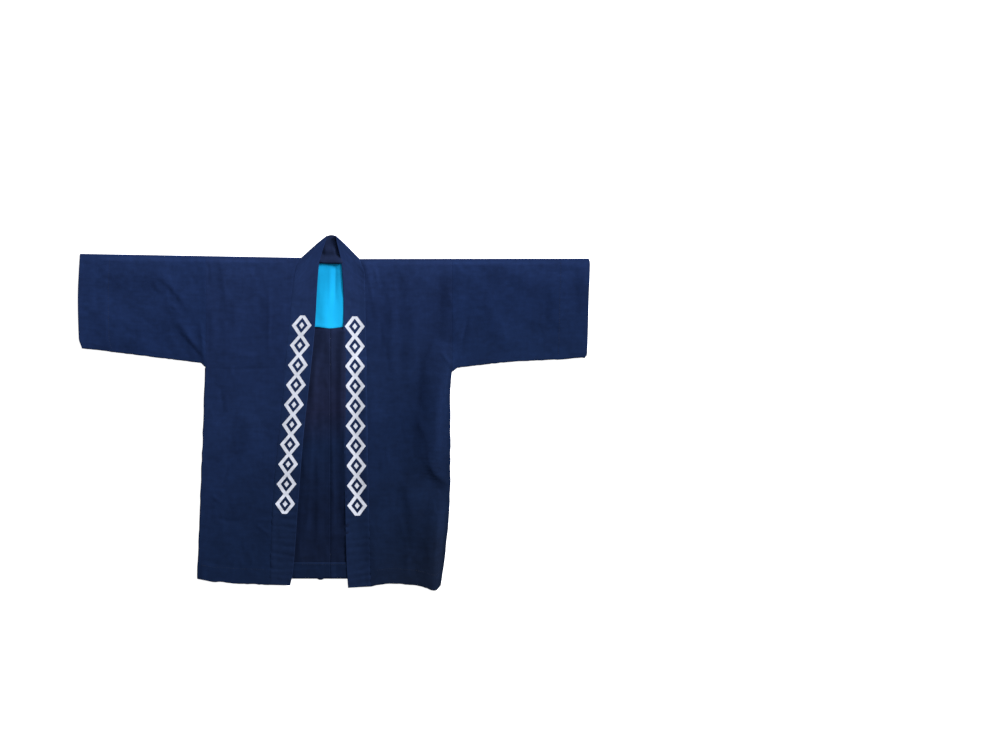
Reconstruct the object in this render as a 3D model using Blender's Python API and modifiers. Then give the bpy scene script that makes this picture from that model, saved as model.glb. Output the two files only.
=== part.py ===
"""Happi coat laid flat with its front side up, as thin solid walls of cloth.

Blender 4.5 script in metres, +Z up. The drawing itself is in millimetres: (0, 0)
is the middle of the neck on the shoulder line, +X points to the wearer's left,
+Y from the hem to the collar, and z = 0 is the surface that the coat lies on.
Each half of the coat has its own sizes, because it lies a little askew.
"""

import math
from typing import NamedTuple

import bmesh
import bpy
import numpy as np

MM = 0.001

# ---- walls and layers (mm) ----
WALL = 1.5            # body and sleeve cloth, with its seam allowances
BAND_WALL = 2.0       # the collar is a folded, double band
LINING_WALL = 1.0
LAYER_GAP = 2.0       # room between the back layer and the front layer
SEAM_GAP = 0.3        # two cut pieces stand this far apart where they are sewn
LINING_LIFT = 0.3     # the lining lies this far above the back panels

BACK_MID = WALL / 2
FRONT_MID = 1.5 * WALL + LAYER_GAP
FOLD_RADIUS = (FRONT_MID - BACK_MID) / 2
FOLD_MID = (FRONT_MID + BACK_MID) / 2
BAND_LIFT = (BAND_WALL - WALL) / 2

# ---- driving lengths (mm) ----
BODY_LENGTH = 795.0      # shoulder fold to the nominal hem
BACK_LENGTH = 782.7      # shoulder fold to the back hem
NECK_HALF = 72.2         # neck point to the centre line
NECK_DROP = 9.0          # how far the back neckline dips
NECK_TUCK = 0.3          # extra room at the neck points, where collar and shoulder folds meet
PEAK_RISE = 54.4         # fold axis of the collar's top corner, above the shoulder
LINING_TOP = 13.0        # lining's top edge below the shoulder line, at the centre
LINING_BOTTOM = 170.0    # its bottom edge
LINING_HALF = 235.0      # half its width, hidden under the fronts
LINING_DIP = 3.5         # how much lower the bottom edge hangs at the centre
UNDERARM_REACH = 15.0    # a sleeve's underside turns down over this length next to the body
UNDERARM_DIP = 9.0       # and by this much


class Half(NamedTuple):
    """One half of the coat: edge tables are rows of (y, x), hem tables of (x, y)."""

    name: str
    sign: int              # -1 the wearer's right, +1 the wearer's left
    armhole: float         # |x| of the sleeve seam
    shoulder: float        # y of the shoulder fold at the neck point
    slope: float           # rise of the shoulder fold per mm outwards
    underarm: float        # y where the side seam begins
    side: tuple            # side edge, from the underarm down
    seam: tuple            # line where the collar is sewn on
    free: tuple            # free edge of the collar
    hem: tuple             # front hem, with the band's hem
    cuff: tuple            # sleeve opening
    underside: tuple       # lower edge of the sleeve, rows of (x, y)


RIGHT = Half(
    name="right", sign=-1, armhole=304.5, shoulder=2.0, slope=0.0178, underarm=-265.0,
    side=((-268, -306.6), (-430, -312.4), (-605, -319.6), (-790, -326.2)),
    seam=((0, -72.2), (-21, -84.0), (-163, -101.5), (-346, -118.6), (-591, -140.6), (-799, -149.2)),
    free=((54.4, -9.3), (-18, -28.1), (-170, -37.9), (-314, -52.6), (-437, -66.0), (-591, -78.3),
          (-762, -91.7), (-799, -98.6)),
    hem=((-325, -782.5), (-283, -790.0), (-221, -794.7), (-155, -797.4), (-99, -800.0)),
    cuff=((11, -612.7), (-101, -617.6), (-195, -615.2), (-219, -607.8)),
    underside=((-608, -220.5), (-312, -256.2)),
)
LEFT = Half(
    name="left", sign=1, armhole=297.2, shoulder=-1.0, slope=0.0016, underarm=-277.2,
    side=((-280.5, 297.2), (-300, 295.0), (-346, 293.5), (-530, 293.4), (-620, 290.1), (-713, 281.3),
          (-775, 273.7), (-800, 268.8)),
    seam=((0, 72.2), (-35, 84.0), (-199, 87.4), (-591, 94.2), (-801, 99.1)),
    free=((54.4, 11.9), (-23, 28.1), (-101, 31.8), (-285, 31.0), (-444, 31.8), (-566, 35.3),
          (-664, 36.9), (-738, 39.1), (-804, 44.0)),
    hem=((44, -805.0), (97, -802.2), (146, -794.2), (188, -796.8), (231, -805.4), (256, -812.0),
         (269, -800.0)),
    cuff=((-1, 631.6), (-10, 634.7), (-101, 631.6), (-236, 627.4), (-242, 622.5)),
    underside=((307, -267.8), (341, -263.8), (451, -252.8), (574, -246.8), (622, -243.2)),
)


class Crease(NamedTuple):
    """A soft ridge along a bent line, steeper on one side than on the other."""

    start: tuple
    middle: tuple
    end: tuple
    left: float      # reach of its slope to the left of the line, seen along it
    right: float     # reach to the right
    height: float    # a trough where this is below zero


# The largest folds of the front layer, hem to shoulder and cuff to cuff.
CREASES = (
    # start          middle         end           left  right  height
    Crease((-470, -20), (-372, -88), (-318, -238), 26.0, 11.0, 4.6),     # right sleeve, cuff to underarm
    Crease((-398, -108), (-362, -160), (-330, -240), 12.0, 16.0, 2.2),   # its companion below
    Crease((-560, -90), (-500, -120), (-430, -196), 24.0, 30.0, 1.6),    # soft roll near the cuff
    Crease((-292, -18), (-262, -62), (-248, -132), 13.0, 22.0, -1.2),    # right shoulder trough
    Crease((-298, -30), (-296, -120), (-292, -215), 10.0, 9.0, 1.5),     # right armhole ridge
    Crease((-214, -250), (-205, -420), (-226, -640), 34.0, 30.0, 1.5),   # right front roll
    Crease((-176, -566), (-170, -680), (-184, -780), 18.0, 14.0, 1.6),   # right front, by the hem
    Crease((88, -16), (101, -84), (126, -190), 13.0, 17.0, -1.2),        # left shoulder, by the collar
    Crease((266, -20), (256, -130), (240, -232), 20.0, 26.0, -1.2),      # left armhole trough
    Crease((291, -24), (286, -120), (284, -226), 11.0, 9.0, 2.2),        # left armhole ridge
    Crease((262, -196), (244, -390), (268, -556), 22.0, 24.0, 7.0),      # the large side fold, left front
    Crease((166, -520), (182, -612), (200, -742), 14.0, 22.0, 2.6),      # left front, down to the hem
    Crease((150, -110), (143, -260), (152, -420), 22.0, 24.0, 1.3),      # left front, below the shoulder
    Crease((142, -640), (146, -730), (144, -806), 17.0, 18.0, 2.6),      # wave of the left hem
    Crease((236, -650), (240, -730), (236, -812), 18.0, 16.0, 2.4),      # second wave of the left hem
    Crease((398, -26), (420, -110), (404, -206), 22.0, 26.0, 2.0),       # left sleeve, upright roll
    Crease((520, -30), (508, -120), (526, -212), 30.0, 24.0, 1.6),       # left sleeve, near the cuff
)
CREASE_STEPS = 80        # points along a crease line
DEEPEST_TROUGH = SEAM_GAP + LINING_LIFT + LINING_WALL - LAYER_GAP
EDGE_CALM = 16.0         # relief fades to nothing over this distance from a fold or seam

# ---- mesh density ----
ARC_STEPS = 6            # segments round a half-turn fold
CURL_STEPS = 3           # segments of a side edge turning to its seam
BODY_COLUMNS = 15
NECK_COLUMNS = 5
BAND_COLUMNS = 3
ROW_PITCH = 26.0
SLEEVE_PITCH = 20.0
BACK_LEVELS = (-15, -36, -90, -180, -330, -480, -640, -740)
ARMHOLE_ROWS = (0.0, 0.010, 0.022)    # a sleeve's first rings, as parts of its length
LINING_COLUMNS, LINING_ROWS = 16, 4
SLEEVE_ROWS = 10         # rows across the front layer of a sleeve
SLEEVE_BACK_ROWS = 3
CENTRE_GAP = SEAM_GAP / 2

# ---- where rows start to bend (y, mm) ----
HEM_BEND = -600.0        # below this, towards the hem's own line
SHOULDER_BEND = -200.0   # above this, towards the shoulder fold
NECK_BEND = -36.0        # above this, the back's rows bend to the neckline
BAND_BEND = -130.0       # above this, the collar's rows swing to its slanted fold
TUCK_BEND = -40.0        # above this, the collar draws in to clear the shoulder fold

NAVY = (0.012, 0.022, 0.075, 1.0)
NAVY_BAND = (0.014, 0.026, 0.085, 1.0)
SKY = (0.012, 0.45, 0.90, 1.0)
CLOTH_ROUGHNESS = 0.85


# ---- small curves ----
def ease(value, low, high):
    """0 at low, 1 at high, with a smooth step between; low may exceed high."""
    part = np.clip((np.asarray(value, float) - low) / (high - low), 0.0, 1.0)
    return part * part * (3.0 - 2.0 * part)


def through(rows, at):
    """Smooth curve through rows of (place, value) with no overshoot, read at the given places."""
    knots = np.array(sorted(rows), float)
    place, value = knots[:, 0], knots[:, 1]
    slope = np.diff(value) / np.diff(place)
    before, after = slope[:-1], slope[1:]
    same_way = before * after > 0.0
    middle = 2.0 * before * after / np.where(same_way, before + after, 1.0)
    tangent = np.concatenate([slope[:1], np.where(same_way, middle, 0.0), slope[-1:]])
    at = np.clip(np.asarray(at, float), place[0], place[-1])
    left = np.clip(np.searchsorted(place, at) - 1, 0, len(place) - 2)
    step = place[left + 1] - place[left]
    part = (at - place[left]) / step
    rest = 1.0 - part
    return (
        rest * rest * (1.0 + 2.0 * part) * value[left]
        + part * part * (3.0 - 2.0 * part) * value[left + 1]
        + rest * rest * part * step * tangent[left]
        - part * part * rest * step * tangent[left + 1]
    )


def mix(start, end, part):
    """Straight blend from start to end."""
    return start + (end - start) * part


def crease_lift(crease, x, y):
    """Height that one crease adds: a bell across its line, fading to its two ends."""
    along = np.linspace(0.0, 1.0, CREASE_STEPS)
    start, middle, end = (np.array(p, float) for p in crease[:3])
    bend = 2.0 * middle - (start + end) / 2.0
    rest = 1.0 - along
    line = np.outer(rest**2, start) + np.outer(2.0 * along * rest, bend) + np.outer(along**2, end)
    heading = np.gradient(line, axis=0)
    gap_x = x[..., None] - line[:, 0]
    gap_y = y[..., None] - line[:, 1]
    squared = gap_x**2 + gap_y**2
    nearest = squared.argmin(axis=-1)[..., None]
    distance = np.sqrt(np.take_along_axis(squared, nearest, -1)[..., 0])
    cross = heading[:, 0] * gap_y - heading[:, 1] * gap_x
    on_left = np.take_along_axis(cross, nearest, -1)[..., 0] > 0.0
    reach = np.where(on_left, crease.left, crease.right)
    fade = np.sin(math.pi * along[nearest[..., 0]]) ** 0.8
    return crease.height * fade * np.exp(-((distance / reach) ** 2))


def relief(x, y):
    """Height of all the creases of the front layer, kept above the lining."""
    total = sum(crease_lift(crease, x, y) for crease in CREASES)
    return np.maximum(total, DEEPEST_TROUGH)


# ---- edges of the coat ----
def shoulder_axis(half, x):
    """y of the axis that the cloth folds round along the shoulder and sleeve top."""
    top = half.shoulder + half.slope * np.maximum(np.abs(x) - NECK_HALF, 0.0)
    return top - FOLD_RADIUS - WALL / 2


def neckline(place):
    """y of the back neckline: half an ellipse hung between the two neck points.

    place runs from -1 at the right neck point to +1 at the left one.
    """
    from_right = (np.clip(place, -1.0, 1.0) + 1.0) / 2.0
    chord = mix(shoulder_axis(RIGHT, -NECK_HALF), shoulder_axis(LEFT, NECK_HALF), from_right)
    return chord - NECK_DROP * np.sqrt(1.0 - np.clip(np.abs(place), 0.0, 1.0) ** 2)


def sleeve_underside(half, x):
    """y of the sleeve's lower edge, turned down next to the body."""
    return through(half.underside, x) - UNDERARM_DIP * ease(np.abs(x) - half.armhole, UNDERARM_REACH, 0.0)


def front_levels(half):
    """Nominal y of the rows of a front, with two rows where the side seam begins."""
    count = round(BODY_LENGTH / ROW_PITCH)
    even = np.linspace(-BODY_LENGTH, 0.0, count + 1)
    closing = (half.underarm, half.side[0][0])
    kept = even[np.abs(even - half.underarm) > ROW_PITCH / 3]
    return np.sort(np.append(kept, closing))


def front_row_y(half, nominal, x):
    """y of a front's points: rows bend to the hem below and to the shoulder fold above."""
    hem_shift = (through(half.hem, x) + BODY_LENGTH) * ease(nominal, HEM_BEND, -BODY_LENGTH)
    return nominal + hem_shift + shoulder_axis(half, x) * ease(nominal, SHOULDER_BEND, 0.0)


# ---- meshes ----
def grid_faces(rows, columns, ring=False):
    """Quads of a rows x columns grid of points; ring joins the last row to the first."""
    row, column = np.meshgrid(np.arange(rows if ring else rows - 1), np.arange(columns - 1), indexing="ij")
    here, below = row * columns + column, ((row + 1) % rows) * columns + column
    return np.stack([here, here + 1, below + 1, below], axis=-1).reshape(-1, 4)


def cloth_object(name, patches, wall, material, home):
    """A closed wall of cloth: patches of middle-surface points joined, then Solidify.

    Each patch is (points of shape rows x columns x 3 in mm, whether its rows close a ring).
    """
    mesh = bpy.data.meshes.new(name)
    points, faces, first = [], [], 0
    for patch, ring in patches:
        rows, columns = patch.shape[:2]
        points.append(patch.reshape(-1, 3) * MM)
        faces.append(grid_faces(rows, columns, ring) + first)
        first += rows * columns
    mesh.from_pydata(np.concatenate(points).tolist(), [], np.concatenate(faces).tolist())
    shape = bmesh.new()
    shape.from_mesh(mesh)
    bmesh.ops.remove_doubles(shape, verts=shape.verts, dist=0.00001)
    bmesh.ops.recalc_face_normals(shape, faces=shape.faces)
    shape.to_mesh(mesh)
    shape.free()
    mesh.shade_smooth()
    mesh.materials.append(material)
    cloth = bpy.data.objects.new(name, mesh)
    home.objects.link(cloth)
    shell = cloth.modifiers.new("wall", "SOLIDIFY")
    shell.thickness = wall * MM
    shell.offset = 0.0
    return cloth


def cloth_material(name, colour):
    """Matt woven cotton in one colour."""
    material = bpy.data.materials.new(name)
    material.use_nodes = True
    shader = material.node_tree.nodes["Principled BSDF"]
    shader.inputs["Base Color"].default_value = colour
    shader.inputs["Roughness"].default_value = CLOTH_ROUGHNESS
    shader.inputs["Metallic"].default_value = 0.0
    material.diffuse_color = colour
    return material


# ---- the body panels ----
def across(half, y, inner, z_mid, toward):
    """One row per y of a body panel from its side edge to its inner edge.

    Below the underarm the side edge turns by a quarter circle towards the other
    layer (toward is -1 from the front, +1 from the back), to meet it at the side seam.
    """
    y = np.asarray(y, float)[:, None]
    curl = np.linspace(0.0, 1.0, CURL_STEPS + 1)[:-1]
    flat = np.linspace(0.0, 1.0, BODY_COLUMNS + 1)
    open_edge = half.sign * (half.armhole - CENTRE_GAP)
    side_edge = through(half.side, y)
    closed = ease(y, half.underarm, half.side[0][0])
    edge = mix(open_edge, side_edge, closed)
    arc_length = FOLD_RADIUS * math.pi / 2
    last = math.acos(CENTRE_GAP / FOLD_RADIUS)
    angle = last * (1.0 - curl)
    turned_x = edge - half.sign * (WALL / 2 + FOLD_RADIUS * (1.0 - np.sin(angle)))
    flat_x = edge - half.sign * arc_length * curl
    start = edge - half.sign * mix(arc_length, WALL / 2 + FOLD_RADIUS, closed)
    x = np.hstack([mix(flat_x, turned_x, closed), mix(start, inner[:, None], flat)])
    drop = np.hstack([closed * FOLD_RADIUS * (1.0 - np.cos(angle)), np.zeros((len(y), len(flat)))])
    return x, z_mid + toward * drop


def body_panel(half):
    """Patches of one body panel: front, shoulder fold and back, and the back beside the neck."""
    seam_side = half.sign * CENTRE_GAP

    # Front: rows follow the hem at the bottom and the shoulder fold at the top.
    nominal = front_levels(half)
    inner = through(half.seam, nominal) + seam_side
    x, z = across(half, nominal, inner, FRONT_MID, -1)
    y = front_row_y(half, nominal[:, None], x)
    from_side, from_seam = np.abs(x - x[:, :1]), np.abs(x - x[:, -1:])
    calm = ease(np.minimum(from_side, from_seam), 0.0, EDGE_CALM) * ease(-y, 0.0, EDGE_CALM)
    front = np.stack([x, y, z + relief(x, y) * calm], axis=-1)

    # Shoulder fold: half a turn from the front layer to the back layer.
    turn = np.linspace(0.0, math.pi, ARC_STEPS + 1)[1:-1, None]
    top_x = front[-1, :, 0][None, :]
    fold_y = shoulder_axis(half, top_x) + FOLD_RADIUS * np.sin(turn)
    fold_z = FOLD_MID + FOLD_RADIUS * np.cos(turn)
    fold = np.stack(np.broadcast_arrays(top_x, fold_y, fold_z), axis=-1)

    # Back: straight rows, with the edge of the neck-side column at the neck point.
    levels = np.array([0.0, *BACK_LEVELS, half.underarm, half.side[0][0], -BACK_LENGTH])
    levels = np.sort(levels)[::-1]
    neck = np.full(len(levels), half.sign * NECK_HALF) + seam_side
    x, z = across(half, levels, neck, BACK_MID, 1)
    level_y = levels[:, None]
    y = level_y + shoulder_axis(half, x) * ease(level_y, NECK_BEND, 0.0)
    back = np.stack([x, y, z], axis=-1)

    # Beside the neck: the back's rows carried on to the centre seam, bent to the neckline.
    part = 1.0 - np.cos(np.linspace(0.0, math.pi / 2, NECK_COLUMNS + 1))[None, :]
    x = mix(neck[:, None], half.sign * CENTRE_GAP, part)
    z = np.full_like(x, BACK_MID)
    y = level_y + neckline(half.sign * (1.0 - part)) * ease(level_y, NECK_BEND, 0.0)
    beside = np.stack([x, y, z], axis=-1)

    main = np.concatenate([front, fold, back])
    return [(main, False), (beside, False)]


# ---- sleeves ----
def sleeve(half):
    """Patch of one sleeve: a flattened tube, its rings set from the armhole to the cuff."""
    inner = half.sign * (half.armhole + CENTRE_GAP)
    length = abs(half.cuff[0][1]) - half.armhole
    count = round(length / SLEEVE_PITCH)
    part = np.append(ARMHOLE_ROWS, np.linspace(0.0, 1.0, count + 1)[1:])[None, :]
    half_turn = np.linspace(0.0, math.pi, ARC_STEPS + 1)[1:-1, None]

    def layer(down, z_mid, sagging):
        """One flat layer: rows go down from the top fold's axis to the lower fold's axis."""
        guess = mix(inner, half.cuff[0][1], part)
        top = shoulder_axis(half, guess)
        low = sleeve_underside(half, guess) + FOLD_RADIUS + WALL / 2
        y = mix(top, low, down)
        x = mix(inner, through(half.cuff, y), part)
        calm = ease(np.minimum(top - y, y - low), 0.0, EDGE_CALM)
        z = z_mid + (relief(x, y) * calm * sleeve_calm(half, x) if sagging else 0.0)
        return np.stack(np.broadcast_arrays(x, y, z), axis=-1)

    def fold(edge_row, turn, way):
        """Half a turn about a layer's edge; way is +1 at the top and -1 at the bottom."""
        x, axis = edge_row[None, :, 0], edge_row[None, :, 1]
        y = axis + way * FOLD_RADIUS * np.sin(turn)
        z = FOLD_MID - way * FOLD_RADIUS * np.cos(turn)
        return np.stack(np.broadcast_arrays(x, y, z), axis=-1)

    front = layer(np.linspace(0.0, 1.0, SLEEVE_ROWS + 1)[:, None], FRONT_MID, True)
    back = layer(np.linspace(1.0, 0.0, SLEEVE_BACK_ROWS + 1)[:, None], BACK_MID, False)
    top, bottom = fold(front[0], half_turn, 1), fold(front[-1], half_turn, -1)
    ring = np.concatenate([front, bottom, back, top])
    return [(ring, True)]


def sleeve_calm(half, x):
    """1 over the sleeve, fading to 0 at the cuff's edge and at the armhole."""
    out = np.abs(x) - half.armhole
    reach = abs(half.cuff[0][1]) - half.armhole
    return ease(out, 0.0, EDGE_CALM) * ease(reach - out, 0.0, EDGE_CALM)


# ---- collar ----
def band_front(half):
    """Rows of the collar on one front, from its hem up to the slanted fold's axis."""
    nominal = front_levels(half)
    out = np.linspace(0.0, 1.0, BAND_COLUMNS + 1)[None, :]
    tuck = CENTRE_GAP + NECK_TUCK * ease(nominal, TUCK_BEND, 0.0)
    seam_x = through(half.seam, nominal) - half.sign * tuck
    seam_y = front_row_y(half, nominal, seam_x)
    lift = ease(nominal, BAND_BEND, 0.0)
    free_x = through(half.free, mix(nominal, PEAK_RISE, lift))
    free_y = mix(front_row_y(half, nominal, free_x), PEAK_RISE, lift)
    x = mix(seam_x[:, None], free_x[:, None], out)
    y = mix(seam_y[:, None], free_y[:, None], out)
    return np.stack([x, y, np.full_like(x, FRONT_MID + BAND_LIFT)], axis=-1)


def band_fold(half, axis_row):
    """Half a turn of the band about the slanted line from the neck point to the peak."""
    turn = np.linspace(0.0, math.pi, ARC_STEPS + 1)[1:-1, None]
    run = axis_row[-1, :2] - axis_row[0, :2]
    normal = np.array([-run[1], run[0]]) * -half.sign
    normal = normal / np.hypot(*normal)
    out = np.linspace(0.0, 1.0, len(axis_row))[:, None]
    heading = mix(np.array([0.0, 1.0]), normal, ease(out, 0.0, 0.7))
    swing = FOLD_RADIUS * np.sin(turn)
    inward = -half.sign * BAND_WALL / 2 * np.sin(turn) * (1.0 - out[:, 0]) ** 2
    x = axis_row[None, :, 0] + swing * heading[None, :, 0] + inward
    y = axis_row[None, :, 1] + swing * heading[None, :, 1]
    z = FOLD_MID + BAND_LIFT + FOLD_RADIUS * np.cos(turn)
    return np.stack(np.broadcast_arrays(x, y, z), axis=-1)


def collar():
    """Patch of the collar: up one front, round the back of the neck and down the other."""
    right, left = band_front(RIGHT), band_front(LEFT)
    start, end = right[-1], left[-1]
    part = np.linspace(0.0, 1.0, 2 * NECK_COLUMNS + 1)
    out = np.linspace(0.0, 1.0, BAND_COLUMNS + 1)[None, :]
    place = -np.cos(math.pi * part)
    seam_x = place * (NECK_HALF - CENTRE_GAP - NECK_TUCK)
    seam_y = neckline(place) + SEAM_GAP * np.sin(math.pi * part)
    free_x = mix(start[-1, 0], end[-1, 0], part)
    free_y = PEAK_RISE + (FOLD_RADIUS + BAND_WALL / 2) * np.sin(math.pi * part)
    x = mix(seam_x[:, None], free_x[:, None], out)
    y = mix(seam_y[:, None], free_y[:, None], out)
    back = np.stack([x, y, np.full_like(x, BACK_MID + BAND_LIFT)], axis=-1)
    right_fold, left_fold = band_fold(RIGHT, start), band_fold(LEFT, end)
    strip = np.concatenate([right, right_fold, back, left_fold[::-1], left[::-1]])
    return [(strip, False)]


# ---- lining ----
def yoke_lining():
    """Patch of the lining: rows from its top edge below the neck seam to its bottom edge."""
    x = np.linspace(-LINING_HALF, LINING_HALF, LINING_COLUMNS + 1)[None, :]
    down = np.linspace(0.0, 1.0, LINING_ROWS + 1)[:, None]
    under_fold = -2.0 * (FOLD_RADIUS + WALL)
    top = mix(under_fold, -LINING_TOP, ease(np.abs(x), NECK_HALF + 20.0, NECK_HALF / 2))
    bottom = -LINING_BOTTOM - LINING_DIP * ease(np.abs(x), NECK_HALF / 2, 0.0)
    y = mix(top, bottom, down)
    z = np.full_like(y, WALL + LINING_LIFT + LINING_WALL / 2)
    return [(np.stack(np.broadcast_arrays(x, y, z), axis=-1), False)]


# ---- the coat ----
def clear_scene():
    """Remove the objects that a new file starts with."""
    for leftover in list(bpy.data.objects):
        bpy.data.objects.remove(leftover)


def centre_over_floor(pieces, carrier):
    """Move the carrier so that the coat's box is centred on the origin, its underside at z = 0."""
    bpy.context.view_layer.update()
    graph = bpy.context.evaluated_depsgraph_get()
    corners = np.concatenate([np.array(piece.evaluated_get(graph).bound_box) for piece in pieces])
    low, high = corners.min(axis=0), corners.max(axis=0)
    carrier.location = (-(low[0] + high[0]) / 2, -(low[1] + high[1]) / 2, -low[2])
    bpy.context.view_layer.update()


def main():
    """Build the coat's six pieces and hang them all on one carrier."""
    clear_scene()
    home = bpy.data.collections.new("happi_coat")
    bpy.context.scene.collection.children.link(home)
    navy = cloth_material("navy_cotton", NAVY)
    band = cloth_material("navy_collar_cotton", NAVY_BAND)
    sky = cloth_material("sky_lining_cotton", SKY)
    pieces = []
    for half in (RIGHT, LEFT):
        pieces.append(cloth_object("body_" + half.name, body_panel(half), WALL, navy, home))
        pieces.append(cloth_object("sleeve_" + half.name, sleeve(half), WALL, navy, home))
    pieces.append(cloth_object("collar", collar(), BAND_WALL, band, home))
    pieces.append(cloth_object("yoke_lining", yoke_lining(), LINING_WALL, sky, home))
    carrier = bpy.data.objects.new("neck_point", None)
    home.objects.link(carrier)
    for piece in pieces:
        piece.parent = carrier
    centre_over_floor(pieces, carrier)


main()
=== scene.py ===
"""A happi coat laid flat with its front up: cloth, seams, stitches, prints, light and camera.

Sizes are millimetres on the coat's own drawing, with (0, 0) at the middle of the
neck on the shoulder line, +X to the wearer's left, +Y from the hem to the collar
and z = 0 on the surface below. The drawing is placed on the frame by the
centre-back seam and by the collar's top edge. Sizes of materials, prints and
lights are metres.
"""

import logging
import math
from dataclasses import dataclass, field, replace
from enum import Enum

import bpy
import numpy as np
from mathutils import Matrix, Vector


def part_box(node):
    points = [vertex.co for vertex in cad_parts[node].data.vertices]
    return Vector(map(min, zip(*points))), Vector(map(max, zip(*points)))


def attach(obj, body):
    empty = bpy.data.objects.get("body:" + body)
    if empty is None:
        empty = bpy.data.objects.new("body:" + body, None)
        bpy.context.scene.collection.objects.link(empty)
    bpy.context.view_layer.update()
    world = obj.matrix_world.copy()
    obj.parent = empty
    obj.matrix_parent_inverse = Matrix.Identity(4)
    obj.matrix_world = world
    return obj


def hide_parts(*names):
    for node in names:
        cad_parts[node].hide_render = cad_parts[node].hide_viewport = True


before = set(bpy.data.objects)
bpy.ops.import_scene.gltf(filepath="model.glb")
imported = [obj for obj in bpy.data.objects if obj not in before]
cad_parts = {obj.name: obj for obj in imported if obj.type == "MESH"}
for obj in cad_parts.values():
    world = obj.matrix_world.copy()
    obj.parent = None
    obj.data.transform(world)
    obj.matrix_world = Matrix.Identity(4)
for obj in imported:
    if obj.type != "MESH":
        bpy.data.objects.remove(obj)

log = logging.getLogger("happi")

Array = np.ndarray
Pair = tuple[float, float]
Place = tuple[float, float, float]
Table = tuple[Pair, ...]
Colour = tuple[float, float, float, float]
ShadedDye = tuple[float, float, float, float]  # level, red, green and blue
Finishes = tuple[bpy.types.Material, ...]

MM = 0.001
WELD = 0.0005             # points of two patches closer than this are one point
COAT_TOP = 5.0            # top of the flat front layer above the surface
BAND_TOP = 5.5            # top of the collar band
CLOTH = 0.8               # cotton of the body and sleeves
BAND = 1.8                # the collar: cotton folded double
LINING = 0.6
BACK_MID = CLOTH / 2      # z of each layer's middle surface
FRONT_MID = COAT_TOP - CLOTH / 2
FOLD_RADIUS = (FRONT_MID - BACK_MID) / 2  # of the folds between the front and the back
FOLD_MID = COAT_TOP / 2
BAND_BACK_MID = 1.0
BAND_FRONT_MID = BAND_TOP - BAND_BACK_MID
BAND_RADIUS = (BAND_FRONT_MID - BAND_BACK_MID) / 2
SEAM_HALF = 0.01          # half the gap between two pieces sewn together
SEAM_TURN = 0.5           # radius at which an edge turns in at its seam
HEM_TURN = 0.5            # radius of a folded hem
BODY_LENGTH = 795.0       # from the shoulder line to the fronts' hems
BACK_LENGTH = 782.7       # and to the back's hem
NECK_HALF = 72.2          # from the middle to each neck point
NECK_DROP = 9.5           # depth of the back neckline
NECK_TUCK = 0.3           # how far the collar draws away from the neck points
NECK_SEAM, NECK_FOOT = -11.0, -28.0  # y of the raised neck seam, and where its foot meets the surface
PEAK_RISE = 54.4          # y of the collar's top fold
PEAK_TOP = 57.15          # outermost edge of the collar's top
# Levels where rows start to bend to the hem, the shoulder, the neckline, the peak and the tuck.
HEM_BEND, SHOULDER_BEND, NECK_BEND, BAND_BEND, TUCK_BEND = -600.0, -200.0, -36.0, -130.0, -40.0
EDGE_CALM = 14.0          # creases fade out over this distance from a fold or seam
UNDERARM_DIP, UNDERARM_REACH = 9.0, 15.0  # how the sleeve's lower edge turns down next to the body


# ---- curves and blends ----
def ease(value: Array | float, low: float, high: float) -> Array:
    """Smooth step: 0 at low, 1 at high, 3p^2 - 2p^3 between.

    Args:
        value: where to read it.
        low: place of 0; may be above high.
        high: place of 1.

    Returns:
        The step's value at each place.
    """
    part = np.clip((np.asarray(value, float) - low) / (high - low), 0.0, 1.0)
    return part * part * (3.0 - 2.0 * part)


def mix(start: Array | float, end: Array | float, part: Array | float) -> Array:
    """Straight blend: start plus part of the way to end."""
    return start + (end - start) * part


def even(steps: int) -> Array:
    """Places from 0 to 1, evenly apart."""
    return np.linspace(0.0, 1.0, steps + 1)


def half_turn(steps: int) -> Array:
    """Angles of a half turn, evenly apart, without its two ends."""
    return np.linspace(0.0, math.pi, steps + 1)[1:-1]


def through(rows: Table, at: Array | float) -> Array:
    """Smooth curve with no overshoot: cubic pieces whose slopes are the harmonic means of their neighbours.

    Args:
        rows: (place, value) pairs.
        at: where to read it.

    Returns:
        The curve's value at each place.
    """
    knots = np.array(sorted(rows), float)
    place, value = knots[:, 0], knots[:, 1]
    slope = np.diff(value) / np.diff(place)
    before, after = slope[:-1], slope[1:]
    same_way = before * after > 0.0
    middle = 2.0 * before * after / np.where(same_way, before + after, 1.0)
    tangent = np.concatenate([slope[:1], np.where(same_way, middle, 0.0), slope[-1:]])
    at = np.clip(np.asarray(at, float), place[0], place[-1])
    left = np.clip(np.searchsorted(place, at) - 1, 0, len(place) - 2)
    step = place[left + 1] - place[left]
    part = (at - place[left]) / step
    rest = 1.0 - part
    return (
        rest * rest * (1.0 + 2.0 * part) * value[left]
        + part * part * (3.0 - 2.0 * part) * value[left + 1]
        + rest * rest * part * step * tangent[left]
        - part * part * rest * step * tangent[left + 1]
    )


def turn_in(distance: Array | float, radius: float) -> Array:
    """Quarter round at an edge: 0 beyond the radius, the radius itself at distance 0."""
    into = np.clip(1.0 - np.asarray(distance, float) / radius, 0.0, 1.0)
    return radius * (1.0 - np.sqrt(1.0 - into**2))


def run_along(path: Array) -> Array:
    """Length along a path up to each of its points."""
    return np.append(0.0, np.cumsum(np.linalg.norm(np.diff(path, axis=0), axis=-1)))


def unit(vectors: Array) -> Array:
    """The vectors, each made one long."""
    return vectors / np.linalg.norm(vectors, axis=-1, keepdims=True)


def together(*parts: Array) -> Array:
    """Coordinates of any matching shapes as one array of points."""
    return np.stack(np.broadcast_arrays(*parts), axis=-1)


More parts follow.
